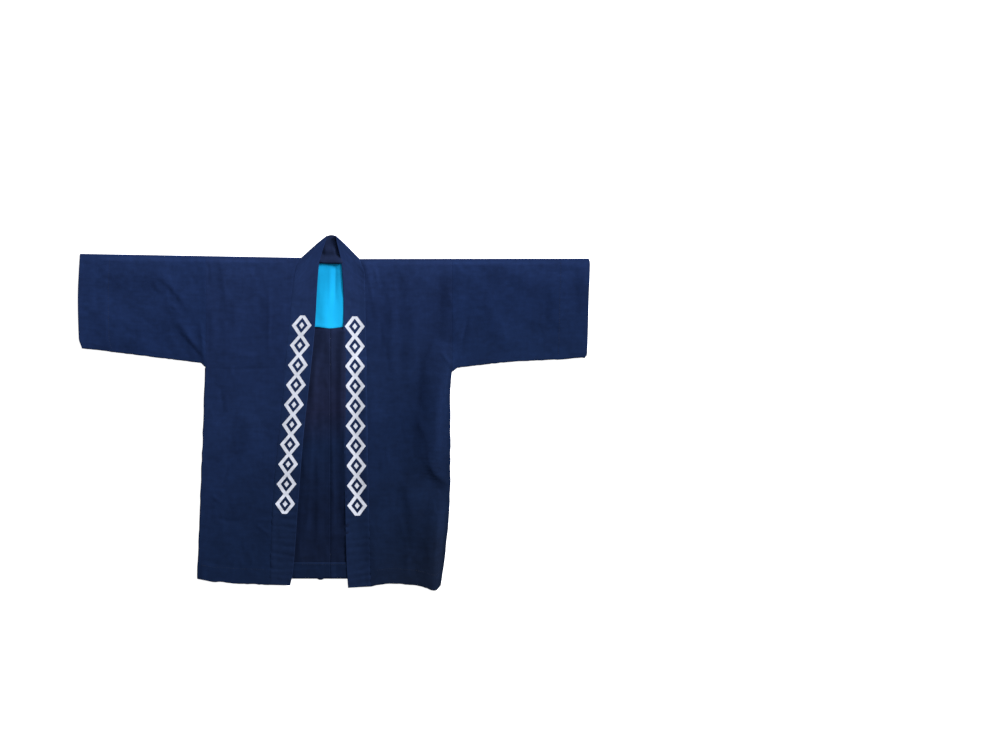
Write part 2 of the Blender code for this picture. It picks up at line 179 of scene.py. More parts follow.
@dataclass(frozen=True)
class Ripple:
    """Gentle unevenness: a random lattice of the given pitch, blended smoothly, from -depth to depth."""

    depth: float
    pitch: float
    seed: int
    squeeze: float = 1.0     # how much closer together it is across than along
    lattice: int = 96

    def at(self, x: Array | float, y: Array | float = 0.0) -> Array:
        """Depth times a blend of the four lattice values round each place, by a smooth step each way.

        Args:
            x: places across the coat.
            y: places along it.

        Returns:
            The unevenness at each place.
        """
        last = self.lattice - 1
        value = np.random.default_rng(self.seed).uniform(-1.0, 1.0, (self.lattice, self.lattice))
        across = x * self.squeeze / self.pitch + self.lattice / 2
        along = y / self.pitch + self.lattice / 2
        column, row = np.floor(across).astype(int) % last, np.floor(along).astype(int) % last
        part_x, part_y = ease(across - np.floor(across), 0, 1), ease(along - np.floor(along), 0, 1)
        low = mix(value[row, column], value[row, column + 1], part_x)
        high = mix(value[row + 1, column], value[row + 1, column + 1], part_x)
        return self.depth * mix(low, high, part_y)

    def above(self, x: Array | float, y: Array | float = 0.0) -> Array:
        """The same unevenness lifted by its depth, so that it is never below zero."""
        return self.depth + self.at(x, y)


HEM_RIPPLES = (Ripple(1.5, 19.0, 22), Ripple(0.6, 7.0, 24))
SIDE_RIPPLE = Ripple(0.8, 17.0, 23)
UNDERSIDE_RIPPLE = Ripple(0.55, 7.5, 21)
FRONT_RIPPLES = (Ripple(0.6, 47.0, 3), Ripple(0.20, 19.0, 5), Ripple(0.05, 8.0, 7))
BACK_RIPPLES = (Ripple(0.28, 44.0, 11, squeeze=2.6), Ripple(0.12, 15.0, 12))
BACK_HEM_RIPPLE = Ripple(0.285, 14.0, 13)
SLEEVE_BACK_RIPPLE = Ripple(0.3, 38.0, 17)
BAND_RIPPLES = (Ripple(0.30, 30.0, 31), Ripple(0.16, 11.0, 32))
PUCKER_WANDER = Ripple(0.4, 33.0, 33, squeeze=0.5)
PUCKER_SHARE = Ripple(0.5, 18.0, 34)
NECK_BAND_RIPPLE = Ripple(0.14, 18.0, 35, squeeze=1.6)
LINING_RIPPLE = Ripple(0.10, 16.0, 41)


# ---- the coat's drawing ----
class Hand(Enum):
    """A side of the coat, the wearer's, by the sign of x there."""

    RIGHT = -1
    LEFT = 1


@dataclass(frozen=True)
class Half:
    """One half of the coat as laid.

    Side, seam, free and cuff are rows of (y, x), hem and underside rows of (x, y).
    """

    hand: Hand
    armhole: float
    shoulder: float
    slope: float
    underarm: float
    cuff_lift: float         # share of the relief that is left at the cuff's edge
    side: Table
    seam: Table
    free: Table
    hem: Table
    cuff: Table
    underside: Table
    band_lift: Table         # rows of (y, how far the band's free edge rises off the front)

    @property
    def name(self) -> str:
        """The side's name, as the solids have it."""
        return self.hand.name.lower()

    @property
    def sign(self) -> int:
        """The sign of x on this side."""
        return self.hand.value

    @property
    def closing(self) -> Pair:
        """y where the underarm opens, and y below which the side is closed."""
        return self.underarm, self.side[0][0]

    @property
    def reach(self) -> float:
        """How far out the cuff's upper corner is from the middle of the coat."""
        return abs(self.cuff[0][1])

    def shoulder_axis(self, x: Array | float) -> Array:
        """y of the axis that the cloth folds round along the shoulder and sleeve top."""
        out = np.maximum(np.abs(x) - NECK_HALF, 0.0)
        return self.shoulder + self.slope * out - COAT_TOP / 2

    def sleeve_underside(self, x: Array) -> Array:
        """y of the sleeve's lower edge, turned down next to the body."""
        return through(self.underside, x) - UNDERARM_DIP * ease(np.abs(x) - self.armhole, UNDERARM_REACH, 0.0)

    def front_row_y(self, level: Array, x: Array) -> Array:
        """Where level rows run: smooth steps bend them to the uneven hem below and the shoulder fold above.

        Args:
            level: nominal y of each row.
            x: places across the coat.

        Returns:
            y of the front's points.
        """
        hem = (through(self.hem, x) + BODY_LENGTH) * ease(level, HEM_BEND, -BODY_LENGTH)
        wave = sum(ripple.at(x) for ripple in HEM_RIPPLES)
        hem = hem + wave * ease(level, (HEM_BEND - BODY_LENGTH) / 2, -BODY_LENGTH)
        return level + hem + self.shoulder_axis(x) * ease(level, SHOULDER_BEND, 0.0)


RIGHT = Half(
    hand=Hand.RIGHT, armhole=304.5, shoulder=2.0, slope=0.0178, underarm=-265.0, cuff_lift=1.3,
    side=((-268, -306.6), (-430, -312.4), (-605, -319.6), (-790, -326.2)),
    seam=((0, -72.2), (-21, -84.0), (-163, -101.5), (-346, -118.6), (-591, -140.6), (-799, -149.2)),
    free=((54.4, -7.6), (-18, -28.1), (-170, -37.9), (-314, -52.6), (-437, -66.0), (-591, -78.3),
          (-762, -91.7), (-799, -98.6)),
    hem=((-325, -782.5), (-283, -790.0), (-221, -794.7), (-155, -797.4), (-99, -800.0)),
    cuff=((11, -612.7), (-101, -617.6), (-195, -615.2), (-219, -607.8)),
    underside=((-608, -220.5), (-312, -256.2)),
    band_lift=((-800, 1.2), (-400, 2.4), (-180, 2.2), (-70, 1.6), (0, 4.2)),
)
LEFT = Half(
    hand=Hand.LEFT, armhole=297.2, shoulder=-1.0, slope=0.0016, underarm=-277.2, cuff_lift=0.35,
    side=((-280.5, 297.2), (-300, 295.0), (-346, 293.5), (-530, 293.4), (-620, 290.1), (-713, 281.3),
          (-775, 273.7), (-800, 268.8)),
    seam=((0, 72.2), (-35, 84.0), (-199, 87.4), (-591, 94.2), (-801, 99.1)),
    free=((54.4, 12.0), (-23, 28.1), (-101, 31.8), (-285, 31.0), (-444, 31.8), (-566, 35.3),
          (-664, 36.9), (-738, 39.1), (-804, 44.0)),
    hem=((44, -805.0), (97, -802.2), (146, -794.2), (188, -796.8), (231, -805.4), (256, -812.0),
         (269, -800.0)),
    cuff=((-1, 631.6), (-10, 634.7), (-101, 631.6), (-236, 627.4), (-242, 622.5)),
    underside=((307, -267.8), (341, -263.8), (451, -252.8), (574, -246.8), (622, -243.2)),
    band_lift=((-800, 3.6), (-620, 3.6), (-450, 3.3), (-300, 3.3), (-200, 3.3), (-172, 2.8), (-150, 1.4),
               (-70, 1.2), (-35, 2.5), (0, 4.0)),
)


def neckline(place: Array) -> Array:
    """The back neckline: half an ellipse hung from the chord between the neck points.

    Args:
        place: -1 at the right neck point, +1 at the left one.

    Returns:
        y of the neckline at each place.
    """
    place = np.clip(place, -1.0, 1.0)
    end = NECK_HALF + SEAM_HALF
    chord = mix(RIGHT.shoulder_axis(end), LEFT.shoulder_axis(end), (place + 1.0) / 2.0)
    return chord - NECK_DROP * np.sqrt(1.0 - np.abs(place) ** 2)


@dataclass(frozen=True)
class NeckHeight:
    """A height at the neck: it grows by a smooth step from right to left, and fades out to both sides."""

    least: float
    more: float
    growth: Pair             # x where it starts and stops growing
    fade: Pair               # distance from the middle where it is gone, and where it is full

    def at(self, x: Array) -> Array:
        """The height at each x."""
        return (self.least + self.more * ease(x, *self.growth)) * ease(np.abs(x), *self.fade)


NECK_RISE = NeckHeight(3.4, 1.0, growth=(-10.0, 22.0), fade=(42.0, 22.0))
NECK_STAND = NeckHeight(2.2, 0.8, growth=(-6.0, 14.0), fade=(38.0, 24.0))  # of the collar above the lining


def neck_rise(x: Array, y: Array) -> Array:
    """How far the neck seam stands up off the surface: by the square of the way from its foot to the seam."""
    return NECK_RISE.at(x) * np.clip((y - NECK_FOOT) / (NECK_SEAM - NECK_FOOT), 0.0, 1.0) ** 2


# ---- creases ----
class Crest(Enum):
    """Shape of a crease's crest, as the power of its bell."""

    ROUND = 2.0
    SOFT = 1.6


ROUND, SOFT = Crest.ROUND, Crest.SOFT
CREASE_STEPS = 90         # points along a crease's line
CREASE_REACH = 3.2        # a crease is worked out this many widths from its line
CREASE_FADE = 0.8         # power of the sine by which a crease fades towards its ends


@dataclass(frozen=True)
class Crease:
    """A ridge (or a trough, below zero) along a bent line, steeper on one side than on the other.

    Seen from its start, left and right are how wide it is on each side.
    """

    start: Pair
    middle: Pair
    end: Pair
    left: float
    right: float
    height: float
    crest: Crest

    def lift(self, x: Array, y: Array) -> Array:
        """Height h * sin(pi t)^fade * exp(-(d / width)^power), d from the line and t along it.

        Args:
            x: places across the coat.
            y: places along it.

        Returns:
            What the crease adds at each place.
        """
        x, y = np.broadcast_arrays(x, y)
        along = np.linspace(0.0, 1.0, CREASE_STEPS)
        start, middle, end = (np.array(p, float) for p in (self.start, self.middle, self.end))
        bend = 2.0 * middle - (start + end) / 2.0
        rest = 1.0 - along
        line = np.outer(rest**2, start) + np.outer(2.0 * along * rest, bend) + np.outer(along**2, end)
        reach = CREASE_REACH * max(self.left, self.right)
        low, high = line.min(axis=0) - reach, line.max(axis=0) + reach
        near = (x > low[0]) & (x < high[0]) & (y > low[1]) & (y < high[1])
        result = np.zeros(x.shape)
        if not near.any():
            return result
        heading = np.gradient(line, axis=0)
        gap_x, gap_y = x[near][:, None] - line[:, 0], y[near][:, None] - line[:, 1]
        squared = gap_x**2 + gap_y**2
        nearest = squared.argmin(axis=1)
        pick = (np.arange(len(nearest)), nearest)
        on_left = (heading[:, 0] * gap_y - heading[:, 1] * gap_x)[pick] > 0.0
        width = np.where(on_left, self.left, self.right)
        fade = np.sin(math.pi * along[nearest]) ** CREASE_FADE
        result[near] = self.height * fade * np.exp(-((np.sqrt(squared[pick]) / width) ** self.crest.value))
        return result


def creased(*rows: tuple) -> tuple[Crease, ...]:
    """Creases from rows of start, middle, end, width on the left, width on the right, height and crest."""
    return tuple(Crease(*row) for row in rows)


FRONT_CREASES = creased(
    # along both shoulders, where the cloth rounds over
    ((-660, -44), (-350, -34), (-50, -40), 105, 34, 3.4, ROUND),
    ((50, -40), (350, -34), (690, -46), 105, 34, 3.4, ROUND),
    # the right sleeve
    ((-436, -38), (-388, -72), (-338, -144), 26, 7, 1.7, SOFT),
    ((-400, -132), (-384, -118), (-362, -148), 6, 5, 1, SOFT),
    ((-376, -146), (-346, -192), (-310, -240), 10, 13, 2.1, SOFT),
    ((-362, -186), (-338, -216), (-314, -244), 5, 6, -1.2, SOFT),
    ((-384, -160), (-366, -196), (-344, -236), 10, 14, -2.2, ROUND),
    ((-320, -150), (-312, -210), (-308, -266), 7, 7, 1.9, SOFT),
    ((-566, -26), (-474, -34), (-392, -28), 60, 36, 3, ROUND),
    ((-545, -96), (-472, -104), (-400, -100), 30, 26, -2, ROUND),
    ((-600, -196), (-500, -205), (-410, -222), 14, 20, 0.7, ROUND),
    # the right front
    ((-277, 14), (-261, -50), (-252, -146), 34, 8, 1.9, SOFT),
    ((-306, -4), (-298, -30), (-301, -66), 5, 7, -1, SOFT),
    ((-296, -110), (-288, -170), (-296, -250), 12, 9, 1.1, ROUND),
    ((-152, -58), (-150, -150), (-151, -232), 7, 5, 1.15, SOFT),
    ((-178, -90), (-172, -110), (-166, -150), 10, 10, -0.9, ROUND),
    ((-214, -340), (-205, -440), (-214, -540), 30, 22, 1.4, ROUND),
    ((-300, -268), (-220, -271), (-104, -264), 4, 4, -0.8, SOFT),
    ((-236, -236), (-200, -238), (-160, -234), 4, 4, 0.7, SOFT),
    ((-278, -634), (-240, -643), (-204, -636), 7, 6, -1.8, SOFT),
    ((-182, -652), (-164, -664), (-142, -682), 5, 5, 1, SOFT),
    ((-292, -576), (-278, -590), (-262, -598), 5, 4, 0.8, SOFT),
    ((-272, -310), (-266, -340), (-262, -380), 6, 6, -0.9, SOFT),
    ((-150, -520), (-196, -552), (-224, -560), 8, 7, -0.9, SOFT),
    # the left front
    ((80, 6), (97, -60), (120, -178), 16, 8, 1.6, SOFT),
    ((108, -20), (113, -46), (119, -80), 8, 4, 0.8, SOFT),
    ((120, -140), (124, -190), (119, -260), 7, 7, -1, SOFT),
    ((144, -50), (150, -160), (146, -290), 12, 9, 1, ROUND),
    ((176, -80), (172, -200), (178, -330), 10, 11, -0.9, ROUND),
    ((200, -60), (205, -200), (196, -390), 13, 14, 0.9, ROUND),
    ((266, -2), (262, -120), (236, -236), 19, 24, -2.5, ROUND),
    ((236, -190), (216, -280), (210, -400), 16, 26, -2.4, ROUND),
    ((288, -206), (256, -370), (258, -540), 21, 48, 9.6, ROUND),
    ((192, -344), (233, -440), (256, -524), 15, 12, 1.2, SOFT),
    ((238, -468), (257, -528), (304, -549), 15, 9.5, 2.7, SOFT),
    ((268, -565), (256, -690), (246, -840), 15, 34, 7.4, ROUND),
    ((166, -528), (198, -600), (204, -710), 46, 15, 2, ROUND),
    ((202, -530), (203, -640), (200, -810), 42, 32, 3.2, ROUND),
    ((152, -596), (180, -674), (191, -756), 6, 11, 0.6, SOFT),
    ((106, -600), (108, -724), (112, -820), 32, 18, 1.7, ROUND),
    ((100, -268), (190, -274), (280, -266), 4, 4, -0.3, SOFT),
    ((86, -240), (87, -420), (92, -740), 64, 42, 4.6, ROUND),
    ((84, 30), (87, -380), (98, -810), 18, 8, 0.8, SOFT),
    ((80, 20), (86, -90), (87, -220), 16, 6, 0.8, SOFT),
    # both fronts' hems, which lift a little
    ((-400, -797), (-220, -798), (-60, -806), 22, 30, 1.1, SOFT),
    ((20, -808), (150, -800), (330, -815), 24, 30, 1.4, SOFT),
    # the left sleeve and underarm
    ((268, -228), (283, -246), (299, -268), 6, 5, 1.3, SOFT),
    ((290, -2), (296, -110), (294, -206), 48, 32, 2, ROUND),
    ((338, -140), (328, -178), (316, -226), 5, 6, -1.3, SOFT),
    ((386, -100), (412, -160), (434, -228), 22, 26, 1.8, ROUND),
    ((552, -34), (548, -100), (554, -166), 22, 18, 1.6, ROUND),
    ((594, -20), (600, -80), (596, -150), 9, 12, -1.1, ROUND),
    ((452, -150), (500, -172), (560, -168), 12, 16, -1, ROUND),
)


@dataclass(frozen=True)
class Strewn:
    """Small creases strewn over an area, uneven in place, heading, length, width and depth."""

    low: Pair
    high: Pair
    count: int
    heading: float
    spread: float
    longest: float
    deepest: float
    seed: int
    least: float = 0.35      # the smallest share of the length and of the depth
    most_bend: float = 0.3
    widths: Pair = (4.0, 10.0)

    def creases(self) -> tuple[Crease, ...]:
        """Draw the creases, each bent a little aside of the straight line between its ends.

        Returns:
            The creases.
        """
        draw = np.random.default_rng(self.seed)
        made = []
        for _ in range(self.count):
            middle = draw.uniform(self.low, self.high)
            angle = math.radians(self.heading + self.spread * draw.uniform(-1.0, 1.0))
            length = self.longest * draw.uniform(self.least, 1.0)
            along = np.array([math.cos(angle), math.sin(angle)]) * length / 2
            bend = np.array([-along[1], along[0]]) * draw.uniform(-self.most_bend, self.most_bend)
            height = self.deepest * draw.uniform(self.least, 1.0) * draw.choice((-1.0, 1.0))
            left, right = draw.uniform(*self.widths, 2)
            line = (tuple(point.tolist()) for point in (middle - along, middle + bend, middle + along))
            made.append(Crease(*line, left, right, height, SOFT))
        return tuple(made)


def strewn(*rows: tuple) -> tuple[Crease, ...]:
    """Small creases from rows of both corners, count, heading, spread, longest, deepest and seed."""
    return tuple(crease for row in rows for crease in Strewn(*row).creases())


SMALL_CREASES = strewn(
    # lengthwise and crosswise on the right front, then on the left one
    ((-320, -790), (-90, -20), 60, 90, 26, 100, 0.5, 101),
    ((-320, -790), (-90, -20), 60, 0, 22, 70, 0.4, 102),
    ((85, -800), (310, -20), 60, 88, 24, 120, 0.5, 103),
    ((85, -800), (310, -20), 50, 0, 22, 60, 0.35, 104),
    # on the right sleeve and the left one
    ((-600, -235), (-310, -20), 60, 120, 60, 70, 0.45, 105),
    ((310, -235), (620, -20), 60, 60, 70, 70, 0.45, 106),
)
DEEPEST = 1.4             # how far the front layer may sink towards the back


def front_relief(x: Array, y: Array) -> Array:
    """Height of the front layer's creases, large and small, and of its gentle unevenness.

    Sinking is limited smoothly: a sum z below zero becomes DEEPEST * tanh(z / DEEPEST).

    Args:
        x: places across the coat.
        y: places along it.

    Returns:
        The height at each place.
    """
    total = sum(crease.lift(x, y) for crease in (*FRONT_CREASES, *SMALL_CREASES))
    total = total + sum(ripple.at(x, y) for ripple in FRONT_RIPPLES)
    return np.where(total > 0.0, total, DEEPEST * np.tanh(total / DEEPEST))


# ---- meshes ----
@dataclass(frozen=True)
class Patch:
    """A grid of middle-surface points on the drawing, with each point's place on the flat cloth."""

    points: Array
    flat: Array
    ring: bool = False       # the last row meets the first

    def faces(self, first: int) -> Array:
        """Quads between neighbouring rows and columns, the points numbered row by row.

        Args:
            first: the number of the grid's first point.

        Returns:
            Four point numbers for each quad.
        """
        rows, columns = self.points.shape[:2]
        last = rows if self.ring else rows - 1
        row, column = np.meshgrid(np.arange(last), np.arange(columns - 1), indexing="ij")
        here, below = row * columns + column, ((row + 1) % rows) * columns + column
        return first + np.stack([here, here + 1, below + 1, below], axis=-1).reshape(-1, 4)


def place_of_drawing() -> Array:
    """Place the drawing's origin by the centre-back seam and by the collar's top edge.

    Returns:
        The origin in the frame, in metres.
    """
    right, left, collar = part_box("body_right"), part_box("body_left"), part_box("collar")
    return np.array([(right[1][0] + left[0][0]) / 2, collar[1][1] - PEAK_TOP * MM, 0.0])


def new_object(name: str, data: bpy.types.ID) -> bpy.types.Object:
    """Put an object for the data into the scene.

    Args:
        name: the object's name.
        data: its mesh, light or camera.

    Returns:
        The new object.
    """
    made = bpy.data.objects.new(name, data)
    bpy.context.scene.collection.objects.link(made)
    return made


def new_mesh(name: str, points: Array, faces: list[list[int]], finishes: Finishes) -> bpy.types.Mesh:
    """Make a smooth mesh, moved from the drawing's millimetres to the frame's metres.

    Args:
        name: the piece's name.
        points: its points on the drawing.
        faces: the point numbers of each face.
        finishes: its materials, the outer one first.

    Returns:
        The new mesh.
    """
    mesh = bpy.data.meshes.new(name)
    mesh.from_pydata((points * MM + place_of_drawing()).tolist(), [], faces)
    mesh.polygons.foreach_set("use_smooth", np.ones(len(faces), bool))
    for finish in finishes:
        mesh.materials.append(finish)
    return mesh


def cloth_piece(name: str, patches: list[Patch], finishes: Finishes, wall: float) -> bpy.types.Object:
    """Join patches into one surface whose upper faces look up, and give it the cloth's thickness.

    Args:
        name: the piece's name.
        patches: its grids; points that coincide are joined.
        finishes: the material outside and the one inside.
        wall: thickness of the cloth, half of it on each side of the surface.

    Returns:
        The new object, with a UV map "cloth" in metres along the threads.
    """
    points = np.concatenate([patch.points.reshape(-1, 3) for patch in patches])
    flats = np.concatenate([patch.flat.reshape(-1, 2) for patch in patches])
    firsts = np.cumsum([0] + [patch.points[..., 0].size for patch in patches])
    faces = np.concatenate([patch.faces(first) for patch, first in zip(patches, firsts)])
    corners = points[faces]
    facing = np.cross(corners[:, 2] - corners[:, 0], corners[:, 3] - corners[:, 1])[:, 2]
    height = corners[..., 2].mean(axis=1)
    if np.sum(facing * (height - height.mean())) < 0.0:
        faces = faces[:, ::-1]
    lattice = np.round(points / WELD).astype(np.int64)
    _, first_of, same = np.unique(lattice, axis=0, return_index=True, return_inverse=True)
    mesh = new_mesh(name, points[first_of], same.reshape(-1)[faces].tolist(), finishes)
    layer = mesh.uv_layers.new(name="cloth")
    layer.data.foreach_set("uv", (flats[faces.reshape(-1)] * MM).astype(np.float32).reshape(-1))
    mesh.validate()
    mesh.update()
    piece = new_object(name, mesh)
    shell = piece.modifiers.new("wall", "SOLIDIFY")
    shell.thickness = wall * MM
    shell.offset = 0.0
    shell.material_offset = 1
    shell.material_offset_rim = 1
    return piece


# ---- materials ----
@dataclass(frozen=True)
class Signal:
    """A value in a node tree: arithmetic on it adds Math nodes, their operands in the order written."""

    nodes: "Nodes"
    socket: bpy.types.NodeSocket

    def then(self, operation: str, *others: object) -> "Signal":
        """The result of a Math operation on this value and the others."""
        return self.nodes.math(operation, self, *others)

    def __add__(self, other: object) -> "Signal":
        """This value plus the other."""
        return self.then("ADD", other)

    def __radd__(self, other: float) -> "Signal":
        """A number plus this value."""
        return self.nodes.math("ADD", other, self)

    def __sub__(self, other: object) -> "Signal":
        """This value less the other."""
        return self.then("SUBTRACT", other)

    def __rsub__(self, other: float) -> "Signal":
        """A number less this value."""
        return self.nodes.math("SUBTRACT", other, self)

    def __mul__(self, other: object) -> "Signal":
        """This value times the other."""
        return self.then("MULTIPLY", other)

    def __truediv__(self, other: object) -> "Signal":
        """This value over the other."""
        return self.then("DIVIDE", other)

    def __mod__(self, other: object) -> "Signal":
        """What is left of this value after whole steps of the other, never below zero."""
        return self.then("FLOORED_MODULO", other)

    def __lt__(self, other: object) -> "Signal":
        """1 where this value is below the other."""
        return self.then("LESS_THAN", other)

    def __gt__(self, other: object) -> "Signal":
        """1 where this value is above the other."""
        return self.then("GREATER_THAN", other)

    def __or__(self, other: object) -> "Signal":
        """The larger of the two, which joins two shapes."""
        return self.then("MAXIMUM", other)

    def __abs__(self) -> "Signal":
        """This value without its sign."""
        return self.then("ABSOLUTE")


class Nodes:
    """A short hand for building one node tree."""

    def __init__(self, tree: bpy.types.NodeTree) -> None:
        """Keep the tree that nodes are added to."""
        self.tree = tree

    def add(self, kind: str, **values: object) -> bpy.types.Node:
        """Add a node.

        Args:
            kind: its type.
            **values: its settings.

        Returns:
            The new node.
        """
        node = self.tree.nodes.new(kind)
        for name, value in values.items():
            setattr(node, name, value)
        return node

    def join(self, source: object, socket: bpy.types.NodeSocket) -> None:
        """Lead a value into an input.

        Args:
            source: a signal, a number, a vector or a colour.
            socket: the input.
        """
        if isinstance(source, Signal):
            self.tree.links.new(source.socket, socket)
        else:
            socket.default_value = source

    def math(self, operation: str, *inputs: object) -> Signal:
        """Add a Math node.

        Args:
            operation: what it works out.
            *inputs: one to three signals or numbers.

        Returns:
            Its result.
        """
        node = self.add("ShaderNodeMath", operation=operation)
        for source, socket in zip(inputs, node.inputs):
            self.join(source, socket)
        return Signal(self, node.outputs[0])

    def blend(self, part: object, low: object, high: object, way: str = "MIX") -> Signal:
        """Add a colour Mix node.

        Args:
            part: share of the second colour, from 0 to 1.
            low: the first colour.
            high: the second colour.
            way: how the two are mixed.

        Returns:
            The mixed colour.
        """
        node = self.add("ShaderNodeMix", data_type="RGBA", blend_type=way)
        colours = [socket for socket in node.inputs if socket.type == "RGBA"]
        for source, socket in zip((part, low, high), (node.inputs[0], *colours)):
            self.join(source, socket)
        return Signal(self, next(socket for socket in node.outputs if socket.type == "RGBA"))

    def noise(self, place: Signal, waves: Place, detail: float) -> Signal:
        """Add noise.

        Args:
            place: where it is read.
            waves: how many waves it has per metre along each axis.
            detail: how many finer layers are added.

        Returns:
            The noise, from 0 to 1.
        """
        stretch = self.add("ShaderNodeVectorMath", operation="MULTIPLY")
        self.join(place, stretch.inputs[0])
        self.join(waves, stretch.inputs[1])
        node = self.add("ShaderNodeTexNoise", noise_dimensions="3D")
        self.join(Signal(self, stretch.outputs[0]), node.inputs["Vector"])
        self.join(1.0, node.inputs["Scale"])
        self.join(detail, node.inputs["Detail"])
        return Signal(self, node.outputs["Fac"])

    def range(self, value: Signal, low: float, high: float, way: str = "SMOOTHSTEP") -> Signal:
        """Add a Map Range node from 0 at low to 1 at high.

        Args:
            value: where it is read.
            low: place of 0.
            high: place of 1.
            way: how it goes from one to the other.

        Returns:
            The step's value.
        """
        node = self.add("ShaderNodeMapRange", interpolation_type=way)
        for source, socket in zip((value, low, high), node.inputs):
            self.join(source, socket)
        return Signal(self, node.outputs[0])

    def ramp(self, part: Signal, stops: list[tuple[float, Colour]]) -> Signal:
        """Add a colour ramp.

        Args:
            part: place on the ramp, from 0 to 1.
            stops: (place, colour) pairs, the first at 0 and the last at 1.

        Returns:
            The colour at that place.
        """
        node = self.add("ShaderNodeValToRGB")
        self.join(part, node.inputs[0])
        for place, _ in stops[1:-1]:
            node.color_ramp.elements.new(place)
        for element, (_, colour) in zip(node.color_ramp.elements, stops):
            element.color = colour
        return Signal(self, node.outputs[0])

    def parts(self, vector: Signal) -> list[Signal]:
        """Take a vector apart.

        Args:
            vector: the vector.

        Returns:
            Its X, Y and Z.
        """
        node = self.add("ShaderNodeSeparateXYZ")
        self.join(vector, node.inputs[0])
        return [Signal(self, socket) for socket in node.outputs]

    def on_cloth(self) -> Signal:
        """The point's place on the flat cloth, in metres."""
        return Signal(self, self.add("ShaderNodeUVMap", uv_map="cloth").outputs[0])

    def on_coat(self) -> Signal:
        """The point's place in the piece's own frame, in metres."""
        return Signal(self, self.add("ShaderNodeTexCoord").outputs["Object"])


def new_material(name: str) -> tuple[bpy.types.Material, Nodes, bpy.types.NodeInputs]:
    """Make a material.

    Args:
        name: its name.

    Returns:
        The material, its Nodes helper and the inputs of its shader.
    """
    material = bpy.data.materials.new(name)
    material.use_nodes = True
    return material, Nodes(material.node_tree), material.node_tree.nodes["Principled BSDF"].inputs


@dataclass(frozen=True)
class Weave:
    """Plain weave, its threads uneven in shade, with the dye's soft fading.

    Streaks and clouds are rows of waves per metre along each axis, detail, and share.
    """

    name: str = "plain_weave"
    thread: float = 0.0006
    streaks: tuple[tuple[Place, float, float], ...] = (
        ((14.0, 620.0, 1.0), 2.0, 0.16), ((540.0, 11.0, 1.0), 2.0, 0.12),
        ((26.0, 130.0, 1.0), 3.0, 0.42), ((120.0, 30.0, 1.0), 3.0, 0.30),
    )
    clouds: tuple[tuple[Place, float, float], ...] = (
        ((12.0, 14.0, 1.0), 5.0, 0.55), ((60.0, 75.0, 1.0), 4.0, 0.45),
    )

    def make(self) -> bpy.types.NodeTree:
        """Make the node group: each thread is a half wave, and warp lies on top in every other cell.

        Returns:
            The group: Height of the threads, Shade of the slubs, Fade of the dye.
        """
        group = bpy.data.node_groups.new(self.name, "ShaderNodeTree")
        group.interface.new_socket("Place", in_out="INPUT", socket_type="NodeSocketVector")
        for socket, default in (("Thread", self.thread), ("Slub", 1.0)):
            made = group.interface.new_socket(socket, in_out="INPUT", socket_type="NodeSocketFloat")
            made.default_value = default
        for socket in ("Height", "Shade", "Fade"):
            group.interface.new_socket(socket, in_out="OUTPUT", socket_type="NodeSocketFloat")
        n = Nodes(group)
        place, thread, slub, _ = (Signal(n, socket) for socket in n.add("NodeGroupInput").outputs)
        sink = n.add("NodeGroupOutput").inputs
        u, v, _ = n.parts(place)
        across, along = u / thread, v / thread
        warp, weft = (abs((turns * math.pi).then("SINE")) for turns in (across, along))
        odd = (across.then("FLOOR") + along.then("FLOOR")) % 2.0
        n.join(warp * odd + weft * (1.0 - odd), sink["Height"])
        streaked = sum(n.noise(place, waves, detail) * share for waves, detail, share in self.streaks)
        n.join((streaked - 0.5) * slub + 1.0, sink["Shade"])
        cloudy, fine = (n.noise(place, waves, detail) * share for waves, detail, share in self.clouds)
        n.join(cloudy + fine, sink["Fade"])
        return group


class Print:
    """White pigment printed on a face of the cloth."""

    ink: Colour = (0.54, 0.565, 0.65, 1.0)
    worn: Pair = (0.12, 0.26)  # fading where the ink is gone, and where it is full

    def mask(self, n: Nodes, patchy: Signal) -> Signal:
        """Where the ink is, from 0 to 1."""
        raise NotImplementedError


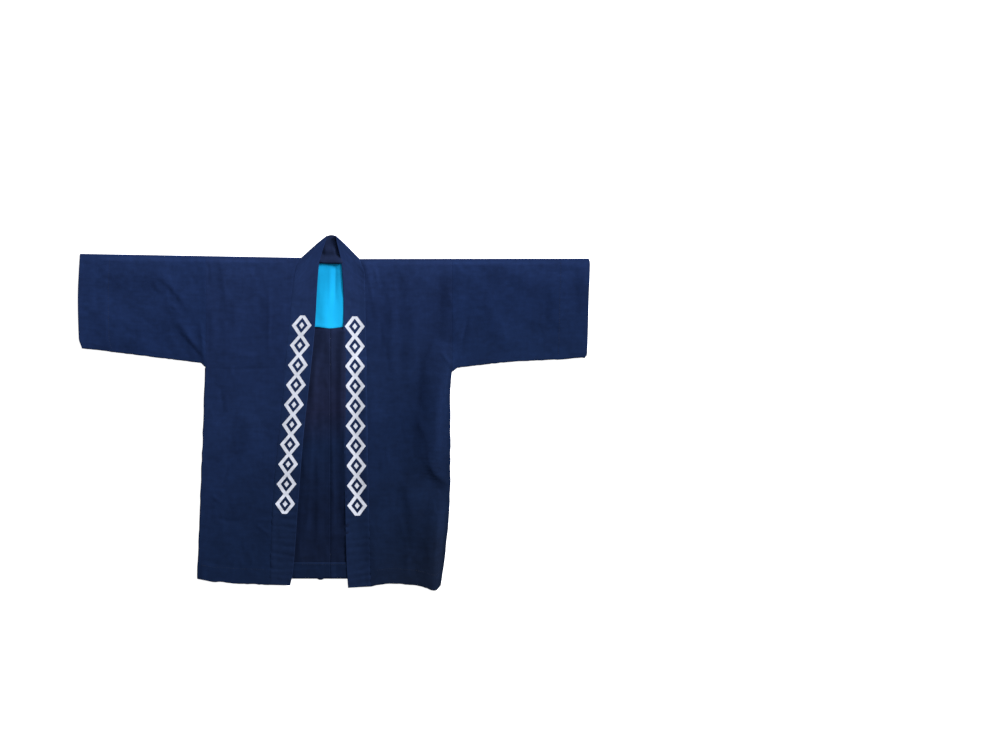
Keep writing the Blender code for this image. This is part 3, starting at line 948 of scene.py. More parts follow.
@dataclass(frozen=True)
class Cotton:
    """Matt cotton with its weave and slubs; its colour stops paint light and shade by height on the coat,
    lighter towards the shoulders and darker towards the hem, where the lamps' light falls off.
    """

    name: str
    # The stops change with height as painted light: lighter towards the shoulders, darker towards the hem,
    # where the lamps' light falls off.
    dyes_and_shade: tuple[ShadedDye, ...]    # from the hem to the shoulders
    # Tilt of the stops across the coat, which makes the painted shade darker towards one side.
    lean: float = 0.0
    tone: float = 1.0
    thread: float = 0.0006
    slub: float = 0.7
    cloud: float = 1.0
    bump: float = 0.22
    bump_height: float = 0.0002
    roughness: float = 0.92
    uneven_roughness: float = 0.1
    uneven_level: float = 0.06
    specular: float = 0.05
    sheen: float = 0.01
    sheen_roughness: float = 0.45

    def shaded_colour(self, n: Nodes, fade: Signal) -> Signal:
        """Mix the colour stops by height on the coat, which leans across it and is uneven; the stops paint
        light and shade over the cloth's own dye.

        Args:
            n: the material's nodes.
            fade: the weave's soft fading.

        Returns:
            The cloth's colour, with its painted light and shade.
        """
        x, y, _ = n.parts(n.on_coat())
        bottom, top = self.dyes_and_shade[0][0], self.dyes_and_shade[-1][0]
        lean = (top - y) * (x * self.lean)
        rise = n.range(y - lean + fade * self.uneven_level, bottom, top, "LINEAR")
        return n.ramp(rise, [((level - bottom) / (top - bottom), (*dye, 1.0)) for level, *dye in self.dyes_and_shade])

    def make(self, weave: bpy.types.NodeTree, printed: Print | None = None) -> bpy.types.Material:
        """Make the material: coloured by its dye with painted light and shade, printed, clouded, shaded by
        slubs and raised by the weave.

        Args:
            weave: the plain weave group.
            printed: what is printed on this face, if anything.

        Returns:
            The new material.
        """
        material, n, shader = new_material(self.name)
        material.diffuse_color = (*self.dyes_and_shade[-1][1:], 1.0)
        cloth = n.add("ShaderNodeGroup", node_tree=weave)
        for value, socket in ((n.on_cloth(), "Place"), (self.thread, "Thread"), (self.slub, "Slub")):
            n.join(value, cloth.inputs[socket])
        height, shade, fade = (Signal(n, socket) for socket in cloth.outputs)
        # The dye with its painted light and shade.
        base = self.shaded_colour(n, fade)
        if printed is not None:
            base = n.blend(printed.mask(n, fade), base, printed.ink)
        tone = ((fade - 0.5) * self.cloud + self.tone) * shade
        n.join(n.blend(1.0, base, tone, "MULTIPLY"), shader["Base Color"])
        bump = n.add("ShaderNodeBump")
        for value, socket in ((self.bump, "Strength"), (self.bump_height, "Distance"), (height, "Height")):
            n.join(value, bump.inputs[socket])
        n.join(Signal(n, bump.outputs[0]), shader["Normal"])
        least = self.roughness - self.uneven_roughness / 2
        n.join(fade * self.uneven_roughness + least, shader["Roughness"])
        n.join(self.sheen, shader["Sheen Weight"])
        n.join(self.sheen_roughness, shader["Sheen Roughness"])
        n.join(self.specular, shader["Specular IOR Level"])
        return material


@dataclass(frozen=True)
class LinkedDiamonds(Print):
    """A chain of linked diamond rings down each collar band, with a small diamond in each.

    Measured from a link's middle, m is |across| plus |along|: a ring is where |m - middle| is
    under its thickness, and the small diamond is where m is under the core's size.
    """

    half_width: float = 0.0215
    pitch: float = 0.0487
    tall: float = 1.72       # how much m grows along the chain for each pitch
    middle: float = 0.9
    line: float = 0.23
    core: float = 0.28
    widest: float = 1.12
    first: float = -0.133
    last: float = -0.620

    def mask(self, n: Nodes, patchy: Signal) -> Signal:
        """Find the rings and their centres, between the first and the last link.

        Args:
            n: the material's nodes.
            patchy: the weave's soft fading, which wears the ink.

        Returns:
            Where the ink is, from 0 to 1.
        """
        u, v, _ = n.parts(n.on_cloth())
        across = abs(u) / self.half_width
        turns = (self.first - v) / self.pitch
        metric = across + abs(turns.then("FRACT") - 0.5) * self.tall
        chain = (abs(metric - self.middle) < self.line) | (metric < self.core)
        shown = (v < self.first) * (v > self.last) * (across < self.widest)
        return chain * shown * n.range(patchy, *self.worn)


@dataclass(frozen=True)
class HempLeaf(Print):
    """A ring round a six-leaved hemp star on the middle of the back.

    With the angle folded into a twelfth of a turn, the star is where the point meets one of
    three straight lines: a spoke, the spoke half way to the next one, and the star's rim.
    """

    centre: Pair = (0.0, 0.235)
    radius: float = 0.135
    inner: float = 0.86      # the star's size as a share of the ring's radius
    line: float = 0.0055

    def mask(self, n: Nodes, patchy: Signal) -> Signal:
        """Find the ring, the spokes and the leaf edges.

        Args:
            n: the material's nodes.
            patchy: the weave's soft fading, which wears the ink.

        Returns:
            Where the ink is, from 0 to 1.
        """
        u, v, _ = n.parts(n.on_cloth())
        x, y = u - self.centre[0], v - self.centre[1]
        reach = (x * x + y * y).then("SQRT")
        folded = abs(y.then("ARCTAN2", x) % (math.pi / 3) - math.pi / 6)
        along, aside = reach * folded.then("COSINE"), reach * folded.then("SINE")
        sine, cosine = 0.5, 0.866      # of a twelfth of a turn
        rim = self.radius * self.inner * cosine
        thin = self.line / 2
        star = (aside < thin) | (abs(along * sine - aside * cosine) < thin) | (abs(along - rim) < thin)
        star = star * (along < rim + thin)
        ring = abs(reach - self.radius) < self.line
        return (star | ring) * n.range(patchy, *self.worn)


@dataclass(frozen=True)
class Thread:
    """Cotton thread in slightly uneven shades along its twist."""

    name: str
    colour: Colour
    twist: Place = (900.0, 900.0, 300.0)
    darkest: float = 0.6
    roughness: float = 0.6
    uneven_roughness: float = 0.2

    def make(self) -> bpy.types.Material:
        """Make the material: its dye mixed with a darker one by the twist.

        Returns:
            The new material.
        """
        material, n, shader = new_material(self.name)
        twist = n.noise(n.on_coat(), self.twist, 2.0)
        dark = (*(part * self.darkest for part in self.colour[:3]), 1.0)
        n.join(n.blend(twist, dark, self.colour), shader["Base Color"])
        n.join(twist * self.uneven_roughness + self.roughness, shader["Roughness"])
        return material

# ---- the back's relief ----
@dataclass(frozen=True)
class Plateau:
    """An area that stands up by a height, with a smooth step from nothing to full at each edge."""

    height: float
    across: tuple[Pair, ...] = ()  # x of nothing and of full, for each edge
    along: tuple[Pair, ...] = ()   # and y of the same

    def at(self, x: Array, y: Array) -> Array:
        """Multiply the height by the smooth steps of all its edges.

        Args:
            x: places across the coat.
            y: places along it.

        Returns:
            The height at each place.
        """
        steps = [ease(x, *edge) for edge in self.across] + [ease(y, *edge) for edge in self.along]
        return self.height * math.prod(steps)


def bell(value: Array, middle: float, width: float, power: float = 2.0) -> Array:
    """1 at the middle, falling by exp(-(distance / width)^power)."""
    return np.exp(-(np.abs((value - middle) / width) ** power))


BACK_CREASES = creased(
    # seen between the collar bands
    ((-20, -300), (-22, -520), (-30, -775), 12, 12, 1, SOFT),
    ((-30, -176), (-44, -420), (-62, -760), 6, 9, 1.1, SOFT),
    ((4, -420), (8, -560), (16, -770), 8, 7, 1.2, SOFT),
    ((-34, -470), (-30, -620), (-40, -770), 9, 6, 1, SOFT),
    ((-10, -686), (12, -676), (38, -668), 7, 8, 1.8, SOFT),
    ((-8, -176), (1, -230), (0, -290), 7, 6, 1.4, SOFT),
    ((30, -180), (26, -300), (28, -450), 5, 16, 2.4, SOFT),
    # under the fronts
    ((150, -120), (170, -380), (150, -700), 26, 30, 1.4, ROUND),
    ((-170, -150), (-190, -400), (-160, -690), 28, 24, 1.4, ROUND),
    ((262, -260), (236, -430), (262, -600), 20, 26, 1.5, ROUND),
    ((-250, -300), (-262, -460), (-244, -640), 24, 20, 1.3, ROUND),
)
BACK_SMALL_CREASES = strewn(((-95, -780), (48, -176), 60, 90, 14, 120, 0.8, 107))
HEM_TOP = 40.0 - BACK_LENGTH  # upper edge of the back's turned-up hem
LINING_TOP, LINING_BOTTOM = 11.8, 167.0  # how far its edges are below the shoulder line
LINING_HALF, LINING_DIP = 235.0, 3.5  # half its width, and how much lower it hangs in the middle
LINING_MID, LINING_AT_NECK = 2.2, 1.25  # z of its middle surface, and z at the neck
LINING_CREASES = creased(
    ((12, 20), (12, -50), (11, -112), 7, 7, -1.3, ROUND),
    ((13, 0), (12, -50), (11, -100), 2.5, 2.5, -0.4, SOFT),
    ((0, 0), (-1, -60), (-2, -130), 6, 8, 0.9, SOFT),
    ((34, -70), (33, -130), (33, -200), 10, 17, 1.7, ROUND),
    ((-26, -20), (-24, -80), (-26, -150), 26, 8, 1.2, ROUND),
    ((-12, -30), (-14, -90), (-20, -170), 9, 8, 0.5, ROUND),
)
BACK_LIFT = 0.4           # lift of the whole back where it shows
UNDER_LINING = 0.2        # share of the back's creases that is left under the lining
HEM_LIFT = 0.855          # lift of the cloth just above the turned-up hem
# Where the back is seen below the lining, and just above its turned-up hem.
BELOW_LINING = Plateau(1.0, along=((4.0 - LINING_BOTTOM, -8.0 - LINING_BOTTOM),))
ABOVE_HEM = Plateau(1.0, along=((HEM_TOP - 0.7, HEM_TOP + 0.7), (HEM_TOP + 44.0, HEM_TOP + 8.0)))
# The centre-back seam's allowances, pressed open, and the ridge beside it.
ALLOWANCES = Plateau(0.35, across=((-12.8, -11.2), (12.8, 11.2)))
SEAM_RIDGE = Plateau(0.6, across=((-5.0, 1.0), (13.0, 4.0)), along=((-260.0, -330.0),))
SWELL = Plateau(3.0, along=((-262.0, -180.0), (-50.0, -150.0)))
SWELL_MIDDLE, SWELL_WIDTH = -12.0, 23.0  # across the coat


def swell(x: Array, y: Array) -> Array:
    """The soft rise of the back and its lining round the lining's lower edge, between the bands."""
    return SWELL.at(x, y) * bell(x, SWELL_MIDDLE, SWELL_WIDTH)


@dataclass(frozen=True)
class BetweenBands:
    """The back's rise between the collar bands, from the right band's free edge to the left one's."""

    first: float = 2.0             # rise beside the right band
    ahead: float = 4.0             # how far under that band it starts
    flank: Pair = (13.0, 29.0)     # how wide it is low down and high up
    flank_levels: Pair = (-250.0, -190.0)
    slope: float = 1.5             # straight rise from slope_start to the left band
    slope_start: float = -28.0
    last: Pair = (3.7, 1.8)        # rise beside the left band, over most of its length and at its end
    last_levels: Pair = (-670.0, -740.0)
    margin: float = 2.0            # how far under the left band the rise is full
    gone: float = 26.0             # and where it is gone

    def at(self, x: Array, y: Array) -> Array:
        """Add a smooth step beside the right band, a straight slope, and a square's rise to the left band.

        Args:
            x: places across the coat.
            y: places along it.

        Returns:
            The rise at each place.
        """
        right, left = through(RIGHT.free, y), through(LEFT.free, y) + self.margin
        flank = mix(*self.flank, ease(y, *self.flank_levels))
        rise = self.first * ease(x, right - self.ahead, right + flank)
        rise = rise + self.slope * np.clip((x - self.slope_start) / (left - self.slope_start), 0.0, 1.0)
        rise = rise + np.clip(x / left, 0.0, 1.0) ** 2 * mix(*self.last, ease(y, *self.last_levels))
        return rise * ease(x, left + self.gone - self.margin, left)


def back_relief(x: Array, y: Array) -> Array:
    """Height of the back's creases, rises and pressed seam allowances, and of its gentle unevenness.

    Args:
        x: places across the coat.
        y: places along it.

    Returns:
        The height at each place.
    """
    total = BACK_LIFT + sum(crease.lift(x, y) for crease in (*BACK_CREASES, *BACK_SMALL_CREASES))
    below_lining = BELOW_LINING.at(x, y)
    shown = total * mix(UNDER_LINING, 1.0, below_lining) + BetweenBands().at(x, y) * below_lining
    above_hem = ABOVE_HEM.at(x, y) * (HEM_LIFT + BACK_HEM_RIPPLE.at(x, y))
    pressed = ALLOWANCES.at(x, y) + SEAM_RIDGE.at(x, y)
    waves = sum(ripple.above(x, y) for ripple in BACK_RIPPLES)
    return np.maximum(shown + above_hem + pressed + waves, 0.0) + swell(x, y)


# ---- rows of cloth ----
FINE = 1.0                # distance between rows where a shape changes fast
HEM_PITCH = 5.0           # distance between rows of a turned-up part
DOUBLED_STEP = 2.0        # half the width of the step where a turned-up part ends
AS_ONE = 1e-6             # rows closer than this are one row


def rows_of_cloth(*stretches: tuple[float, float, float]) -> Array:
    """Place rows evenly along stretches that follow on each other.

    Args:
        *stretches: (from, to, distance between rows) of each.

    Returns:
        The rows' levels, the ends of stretches kept once.
    """
    rows = [np.linspace(a, b, max(2, round(abs(b - a) / pitch) + 1)) for a, b, pitch in stretches]
    joined = np.concatenate(rows)
    return joined[np.append(True, np.abs(np.diff(joined)) > AS_ONE)]


def hem_turn(steps: int = 6, radius: float = HEM_TURN) -> tuple[Array, Array]:
    """Turn a hem by half a circle.

    Args:
        steps: how many steps the half circle has.
        radius: its radius.

    Returns:
        How far each row is inset into the coat, and how far it bulges outwards.
    """
    angle = half_turn(steps)
    return radius * (1.0 - np.cos(angle)), radius * np.sin(angle)


def hem_room(level: Array, length: float, reach: float) -> Array:
    """How far rows within reach of the hem are moved up, to leave room for its half turn."""
    return HEM_TURN * (level < reach - length)


def doubled(from_edge: Array, turned: float) -> Array:
    """1 where a turned-up part lies under the cloth, 0 beyond it, with a smooth step."""
    return ease(from_edge, turned + DOUBLED_STEP, turned - DOUBLED_STEP)


@dataclass(frozen=True)
class Rows:
    """Rows of a cloth from its face round the hem and back inside."""

    place: Array
    inset: Array             # how far each is inset into the coat
    bulge: Array             # how far each bulges outwards
    face: int                # how many rows the face has

    def backwards(self) -> "Rows":
        """The same rows, from the turned-back edge to the face's first row."""
        return Rows(self.place[::-1], self.inset[::-1], self.bulge[::-1], self.face)


def turned_back(face: Array, inside: Array, sunk: Array | float = 0.0) -> Rows:
    """Follow a face's rows by those of its hem's half turn and of the part turned back.

    Args:
        face: places of the face's rows, the last at the hem.
        inside: places of the rows of the part turned back.
        sunk: how far the face's own rows are inset.

    Returns:
        All the rows.
    """
    inset, bulge = hem_turn()
    return Rows(
        place=np.concatenate([face, np.full(len(inset), face[-1]), inside]),
        inset=np.concatenate([sunk + np.zeros(len(face)), inset, np.full(len(inside), 2 * HEM_TURN)]),
        bulge=np.concatenate([np.zeros(len(face)), bulge, np.zeros(len(inside))]),
        face=len(face),
    )


def half_fold(edge: Array, radius: Array, steps: int, way: int, start: int) -> Array:
    """Fold the cloth by half a circle about an axis halfway between its two layers.

    Args:
        edge: the points that the fold starts from; y is that of the axis.
        radius: the half circle's radius at each of them.
        steps: how many steps it has.
        way: +1 to bulge towards the collar, -1 towards the hem.
        start: +1 to start at the upper layer, -1 at the lower one.

    Returns:
        The fold's rows without its two ends.
    """
    turn = half_turn(steps)[:, None]
    y = edge[:, 1] + way * radius * np.sin(turn)
    return together(edge[:, 0], y, FOLD_MID + start * radius * np.cos(turn))


# ---- the body panels ----
@dataclass
class BodyPanel:
    """One length of cloth: front, shoulder and back, both hems turned up inside."""

    half: Half
    columns: int = 84
    curl_steps: int = 6
    fold_steps: int = 10
    neck_columns: int = 30
    edge_places: tuple[float, ...] = (0.9955, 0.9972, 0.9986, 1.0)  # last columns, where the edge turns in
    front_pitch: float = 2.8
    back_pitch: float = 6.0
    top_rows: Pair = (-4.0, -8.0)  # rows are closer together above these levels, in front and behind
    hem_rows: float = 0.75         # distance between the back's rows just above its turned-up hem
    hem_rows_reach: float = 6.0    # and how far above it they go
    room_reach: Pair = (5.0, 0.5)  # rows this near the hem make room for its turn, in front and behind
    turn_up: float = 40.0
    doubling: float = 0.2          # lift of the front where the hem's turned-up part lies under it
    band_turn: float = 0.25        # share of the turned-in edge that shows beside the collar
    neck_lip: float = 1.35         # how far the neck's edge stands up, as a share of the collar's stand
    neck_lip_rows: Pair = (-2.0, 0.0)
    tuft: float = 2.8              # where the back's hem hangs out a little: how far, where and how wide
    tuft_middle: float = -24.3
    tuft_width: float = 6.5
    tuft_rise: float = 14.0
    tuft_power: float = 4.0        # how square its sides are
    stitch_row: float = 37.0       # height of the stitches above the hem
    stitch_margin: int = 8         # columns without stitches at each side of the front
    cut_width: float = 0.34
    cut_length: float = 1.67
    cut_area: float = 0.447
    stitch_paths: list[Array] = field(default_factory=list)

    def across(self, rows: Rows, inner: Array) -> tuple[Array, Array]:
        """Lay each row from the side edge to the inner edge.

        Below the underarm the side edge turns by a quarter circle towards the other layer, to
        meet it at the side seam. An inset row runs that much further inside the coat.

        Args:
            rows: the rows, placed by their nominal y.
            inner: x of each row's inner edge.

        Returns:
            x, and how far each point has sunk towards the other layer.
        """
        half, level, inset = self.half, rows.place[:, None], rows.inset[:, None]
        curl = even(self.curl_steps)[:-1]
        flat = np.append(even(self.columns)[:-1], self.edge_places)
        closed = ease(level, *half.closing)
        side = through(half.side, level) + SIDE_RIPPLE.at(0.0, level)
        edge = mix(half.sign * (half.armhole - SEAM_HALF), side, closed)
        arc = FOLD_RADIUS * math.pi / 2
        radius = FOLD_RADIUS - inset
        angle = math.acos(SEAM_HALF / FOLD_RADIUS) * (1.0 - curl)
        turned = edge - half.sign * (CLOTH / 2 + inset + radius * (1.0 - np.sin(angle)))
        start = edge - half.sign * mix(arc, CLOTH / 2 + FOLD_RADIUS, closed)
        at_side = mix(edge - half.sign * arc * curl, turned, closed)
        x = np.hstack([at_side, mix(start, inner[:, None], flat)])
        curled = closed * radius * (1.0 - np.cos(angle))
        sunk = np.hstack([curled, np.zeros((len(level), len(flat)))]) + inset
        return x, sunk + (1.0 - closed) * turn_in(np.abs(x - x[:, :1]), SEAM_TURN)

    def front(self) -> tuple[Array, Array]:
        """Lay the front from its turned-up edge round the hem and up to the shoulder.

        Returns:
            The front's points, and the level of each row.
        """
        half = self.half
        opens, closes = half.closing
        face = rows_of_cloth(
            (0.0, self.top_rows[0], FINE), (self.top_rows[0], opens, self.front_pitch),
            (opens, closes, FINE), (closes, -BODY_LENGTH, self.front_pitch),
        )
        inside = rows_of_cloth((-BODY_LENGTH, self.turn_up - BODY_LENGTH, HEM_PITCH))[1:]
        rows = turned_back(face, inside).backwards()
        row = rows.place[:, None]
        x, sunk = self.across(rows, through(half.seam, rows.place) + half.sign * SEAM_HALF)
        y = half.front_row_y(row, x) - rows.bulge[:, None] + hem_room(row, BODY_LENGTH, self.room_reach[0])
        from_seam, from_side = np.abs(x - x[:, -1:]), np.abs(x - x[:, :1])
        on_armhole = ease(y - half.underarm - COAT_TOP / 2, 0.0, EDGE_CALM)
        calm = mix(ease(from_side, 0.0, EDGE_CALM), 1.0, on_armhole)
        calm = calm * ease(half.shoulder_axis(x) - y, 0.0, EDGE_CALM)
        relief = front_relief(x, y) + self.doubling * doubled(row + BODY_LENGTH, self.turn_up)
        z = FRONT_MID - sunk - self.band_turn * turn_in(from_seam, SEAM_TURN) + relief * calm
        points = together(x, y, z)
        shown = points[-rows.face:, self.stitch_margin:-self.stitch_margin]
        stitched = np.abs(rows.place[-rows.face:] + BODY_LENGTH - self.stitch_row).argmin()
        self.stitch_paths.append(shown[stitched])
        return points, rows.place

    def back_rows(self) -> Rows:
        """Place the back's rows, from the shoulder to the turned-up edge.

        Returns:
            The rows.
        """
        opens, closes = self.half.closing
        above_hem = HEM_TOP + self.hem_rows_reach
        face = rows_of_cloth(
            (0.0, self.top_rows[1], 2 * FINE), (self.top_rows[1], opens, self.back_pitch),
            (opens, closes, FINE), (closes, above_hem, self.back_pitch),
            (above_hem, HEM_TOP, self.hem_rows), (HEM_TOP, -BACK_LENGTH, self.back_pitch),
        )
        return turned_back(face, rows_of_cloth((-BACK_LENGTH, self.turn_up - BACK_LENGTH, HEM_PITCH))[1:])

    def outward(self, rows: Rows) -> Array:
        """How far each of the back's rows bulges outwards at the hem."""
        return rows.bulge[:, None] - hem_room(rows.place[:, None], BACK_LENGTH, self.room_reach[1])

    def back_height(self, x: Array, y: Array, sunk: Array) -> Array:
        """Raise the flat back layer by its creases and turned edges.

        Args:
            x: places across the coat.
            y: places along it.
            sunk: how far each point has moved towards the front layer.

        Returns:
            z of the points.
        """
        from_armhole = np.abs(np.abs(x) - self.half.armhole)
        calm = ease(-y, 0.0, 2 * EDGE_CALM) * ease(from_armhole, 0.0, 3 * EDGE_CALM)
        return BACK_MID + sunk + back_relief(x, y) * calm

    def beside_neck(self, rows: Rows, neck: Array) -> Array:
        """Carry the back's rows on to the centre seam, bent to the neckline.

        Args:
            rows: the back's rows.
            neck: x of each row at the neck point.

        Returns:
            The points from the neck point to the centre seam.
        """
        row, half, steps = rows.place[:, None], self.half, even(self.neck_columns)
        part = mix(1.0 - np.cos(steps * math.pi / 2), steps, ease(row, NECK_BEND, 2 * NECK_BEND))
        x = mix(neck[:, None], half.sign * SEAM_HALF, part)
        tuft = self.tuft * bell(x, self.tuft_middle, self.tuft_width, self.tuft_power)
        tuft = tuft * ease(row, self.tuft_rise - BACK_LENGTH, -BACK_LENGTH)
        curve = neckline(half.sign * (1.0 - part)) * ease(row, NECK_BEND, 0.0)
        y = row + curve - self.outward(rows) - tuft
        lip = self.neck_lip * NECK_STAND.at(x) * ease(row, *self.neck_lip_rows)
        points = together(x, y, self.back_height(x, y, rows.inset[:, None]) + neck_rise(x, y) + lip)
        turned_up = rows.place[rows.face:]
        stitched = rows.face + np.abs(turned_up + BACK_LENGTH - self.stitch_row).argmin()
        self.stitch_paths.append(points[stitched])
        return points

    def build(self, finishes: Finishes) -> bpy.types.Object:
        """Build the panel: front, shoulder fold and back in one patch, the back beside the neck in another.

        Args:
            finishes: the material outside and the one inside.

        Returns:
            The piece.
        """
        half = self.half
        front, front_level = self.front()
        shoulder = front[-1].copy()
        shoulder[:, 1] = half.shoulder_axis(shoulder[:, 0])
        fold = half_fold(shoulder, FOLD_RADIUS - (FRONT_MID - shoulder[:, 2]), self.fold_steps, 1, 1)

        rows = self.back_rows()
        row = rows.place[:, None]
        neck = np.full(len(row), half.sign * (NECK_HALF + SEAM_HALF))
        x, sunk = self.across(rows, neck)
        y = row + half.shoulder_axis(x) * ease(row, NECK_BEND, 0.0) - self.outward(rows)
        main = np.concatenate([front, fold, together(x, y, self.back_height(x, y, sunk))])
        beside = self.beside_neck(rows, neck)

        arc = math.pi * FOLD_RADIUS
        level = np.concatenate([front_level, half_turn(self.fold_steps) * FOLD_RADIUS, arc - rows.place])
        patches = [
            Patch(main, together(main[..., 0], level[:, None])),
            Patch(beside, together(beside[..., 0], arc - row)),
        ]
        return cloth_piece("cloth_body_" + half.name, patches, finishes, CLOTH)


# ---- sleeves ----
class Layer(Enum):
    """A flat layer of a sleeve, by the way to the other one: down from the front, up from the back."""

    FRONT = -1
    BACK = 1


@dataclass
class Sleeve:
    """A flattened tube folded along the shoulder, its cuff turned back inside."""

    half: Half
    pitch: float = 2.8
    rows: int = 86
    back_rows: int = 40
    fold_steps: int = 8
    near_seam: tuple[float, ...] = (0.0, 0.3, 0.7, 1.2)  # first rings, where the edge turns in
    turn_back: float = 70.0
    inside_pitch: float = 6.0
    doubling: float = 0.4          # lift of the front where the cuff's turned-back part lies under it
    stitch_margin: int = 2         # rows without stitches at each end
    cut_width: float = 0.53
    cut_length: float = 0.40
    stitch_paths: list[Array] = field(default_factory=list)

    def rings(self) -> Rows:
        """Place the rings from the armhole, 0, to the cuff, 1, and back inside.

        Returns:
            The rings.
        """
        length = self.half.reach - self.half.armhole
        face = np.append(np.array(self.near_seam) / length, even(round(length / self.pitch))[1:])
        inside = 1.0 - np.arange(0.0, self.turn_back + 1.0, self.inside_pitch)[1:] / length
        return turned_back(face, inside, turn_in(face * length, SEAM_TURN))

    def layer(self, layer: Layer, steps: int) -> Array:
        """Lay one flat layer, its rows going down from the top fold's axis to the lower fold's axis.

        Args:
            layer: which of the two.
            steps: how many steps there are from the top to the underside.

        Returns:
            The layer's points.
        """
        half, rings = self.half, self.rings()
        inner = half.sign * (half.armhole + SEAM_HALF)
        nominal = mix(inner, half.cuff[0][1], rings.place)
        top = half.shoulder_axis(nominal)
        low = half.sleeve_underside(nominal) + FOLD_RADIUS + CLOTH / 2 + UNDERSIDE_RIPPLE.at(nominal)
        y = mix(top, low, even(steps)[:, None])
        cuff = through(half.cuff, y) - half.sign * (HEM_TURN + CLOTH / 2)
        x = mix(inner, cuff, rings.place) + half.sign * rings.bulge
        from_seam, from_cuff = np.abs(x) - half.armhole, np.abs(cuff) - np.abs(x)
        calm = ease(top - y, 0.0, EDGE_CALM) * ease(y - low, 0.0, EDGE_CALM)
        if layer is Layer.FRONT:
            relief = front_relief(x, y) + self.doubling * doubled(from_cuff, self.turn_back)
            lift = relief * calm * mix(half.cuff_lift, 1.0, ease(from_cuff, 0.0, EDGE_CALM))
            middle = FRONT_MID
        else:
            lift = SLEEVE_BACK_RIPPLE.above(x, y) * calm * ease(from_seam, 0.0, EDGE_CALM)
            middle = BACK_MID
        return together(x, y, middle + layer.value * rings.inset + lift)

    def build(self, finishes: Finishes) -> bpy.types.Object:
        """Build the sleeve: front, lower fold, back and top fold, closed to a ring.

        Args:
            finishes: the material outside and the one inside.

        Returns:
            The piece.
        """
        rings = self.rings()
        radius = FOLD_RADIUS - rings.inset
        front = self.layer(Layer.FRONT, self.rows)
        back = self.layer(Layer.BACK, self.back_rows)[::-1]
        lower_fold = half_fold(front[-1], radius, self.fold_steps, -1, 1)
        top_fold = half_fold(front[0], radius, self.fold_steps, 1, -1)
        ring = np.concatenate([front, lower_fold, back, top_fold])
        flat = together(ring[..., 0], -run_along(ring[:, 0, 1:])[:, None])
        face = np.abs(front[len(front) // 3, :rings.face, 0])
        column = np.abs(face - (self.half.reach - self.turn_back)).argmin()
        self.stitch_paths.append(front[self.stitch_margin:-self.stitch_margin, column])
        return cloth_piece("cloth_sleeve_" + self.half.name, [Patch(ring, flat, ring=True)], finishes, CLOTH)


# ---- collar ----
CROWN = Plateau(1.0, across=((-20.0, -11.0), (15.0, 8.0)), along=((2.0, 12.0), (PEAK_RISE, 40.0)))


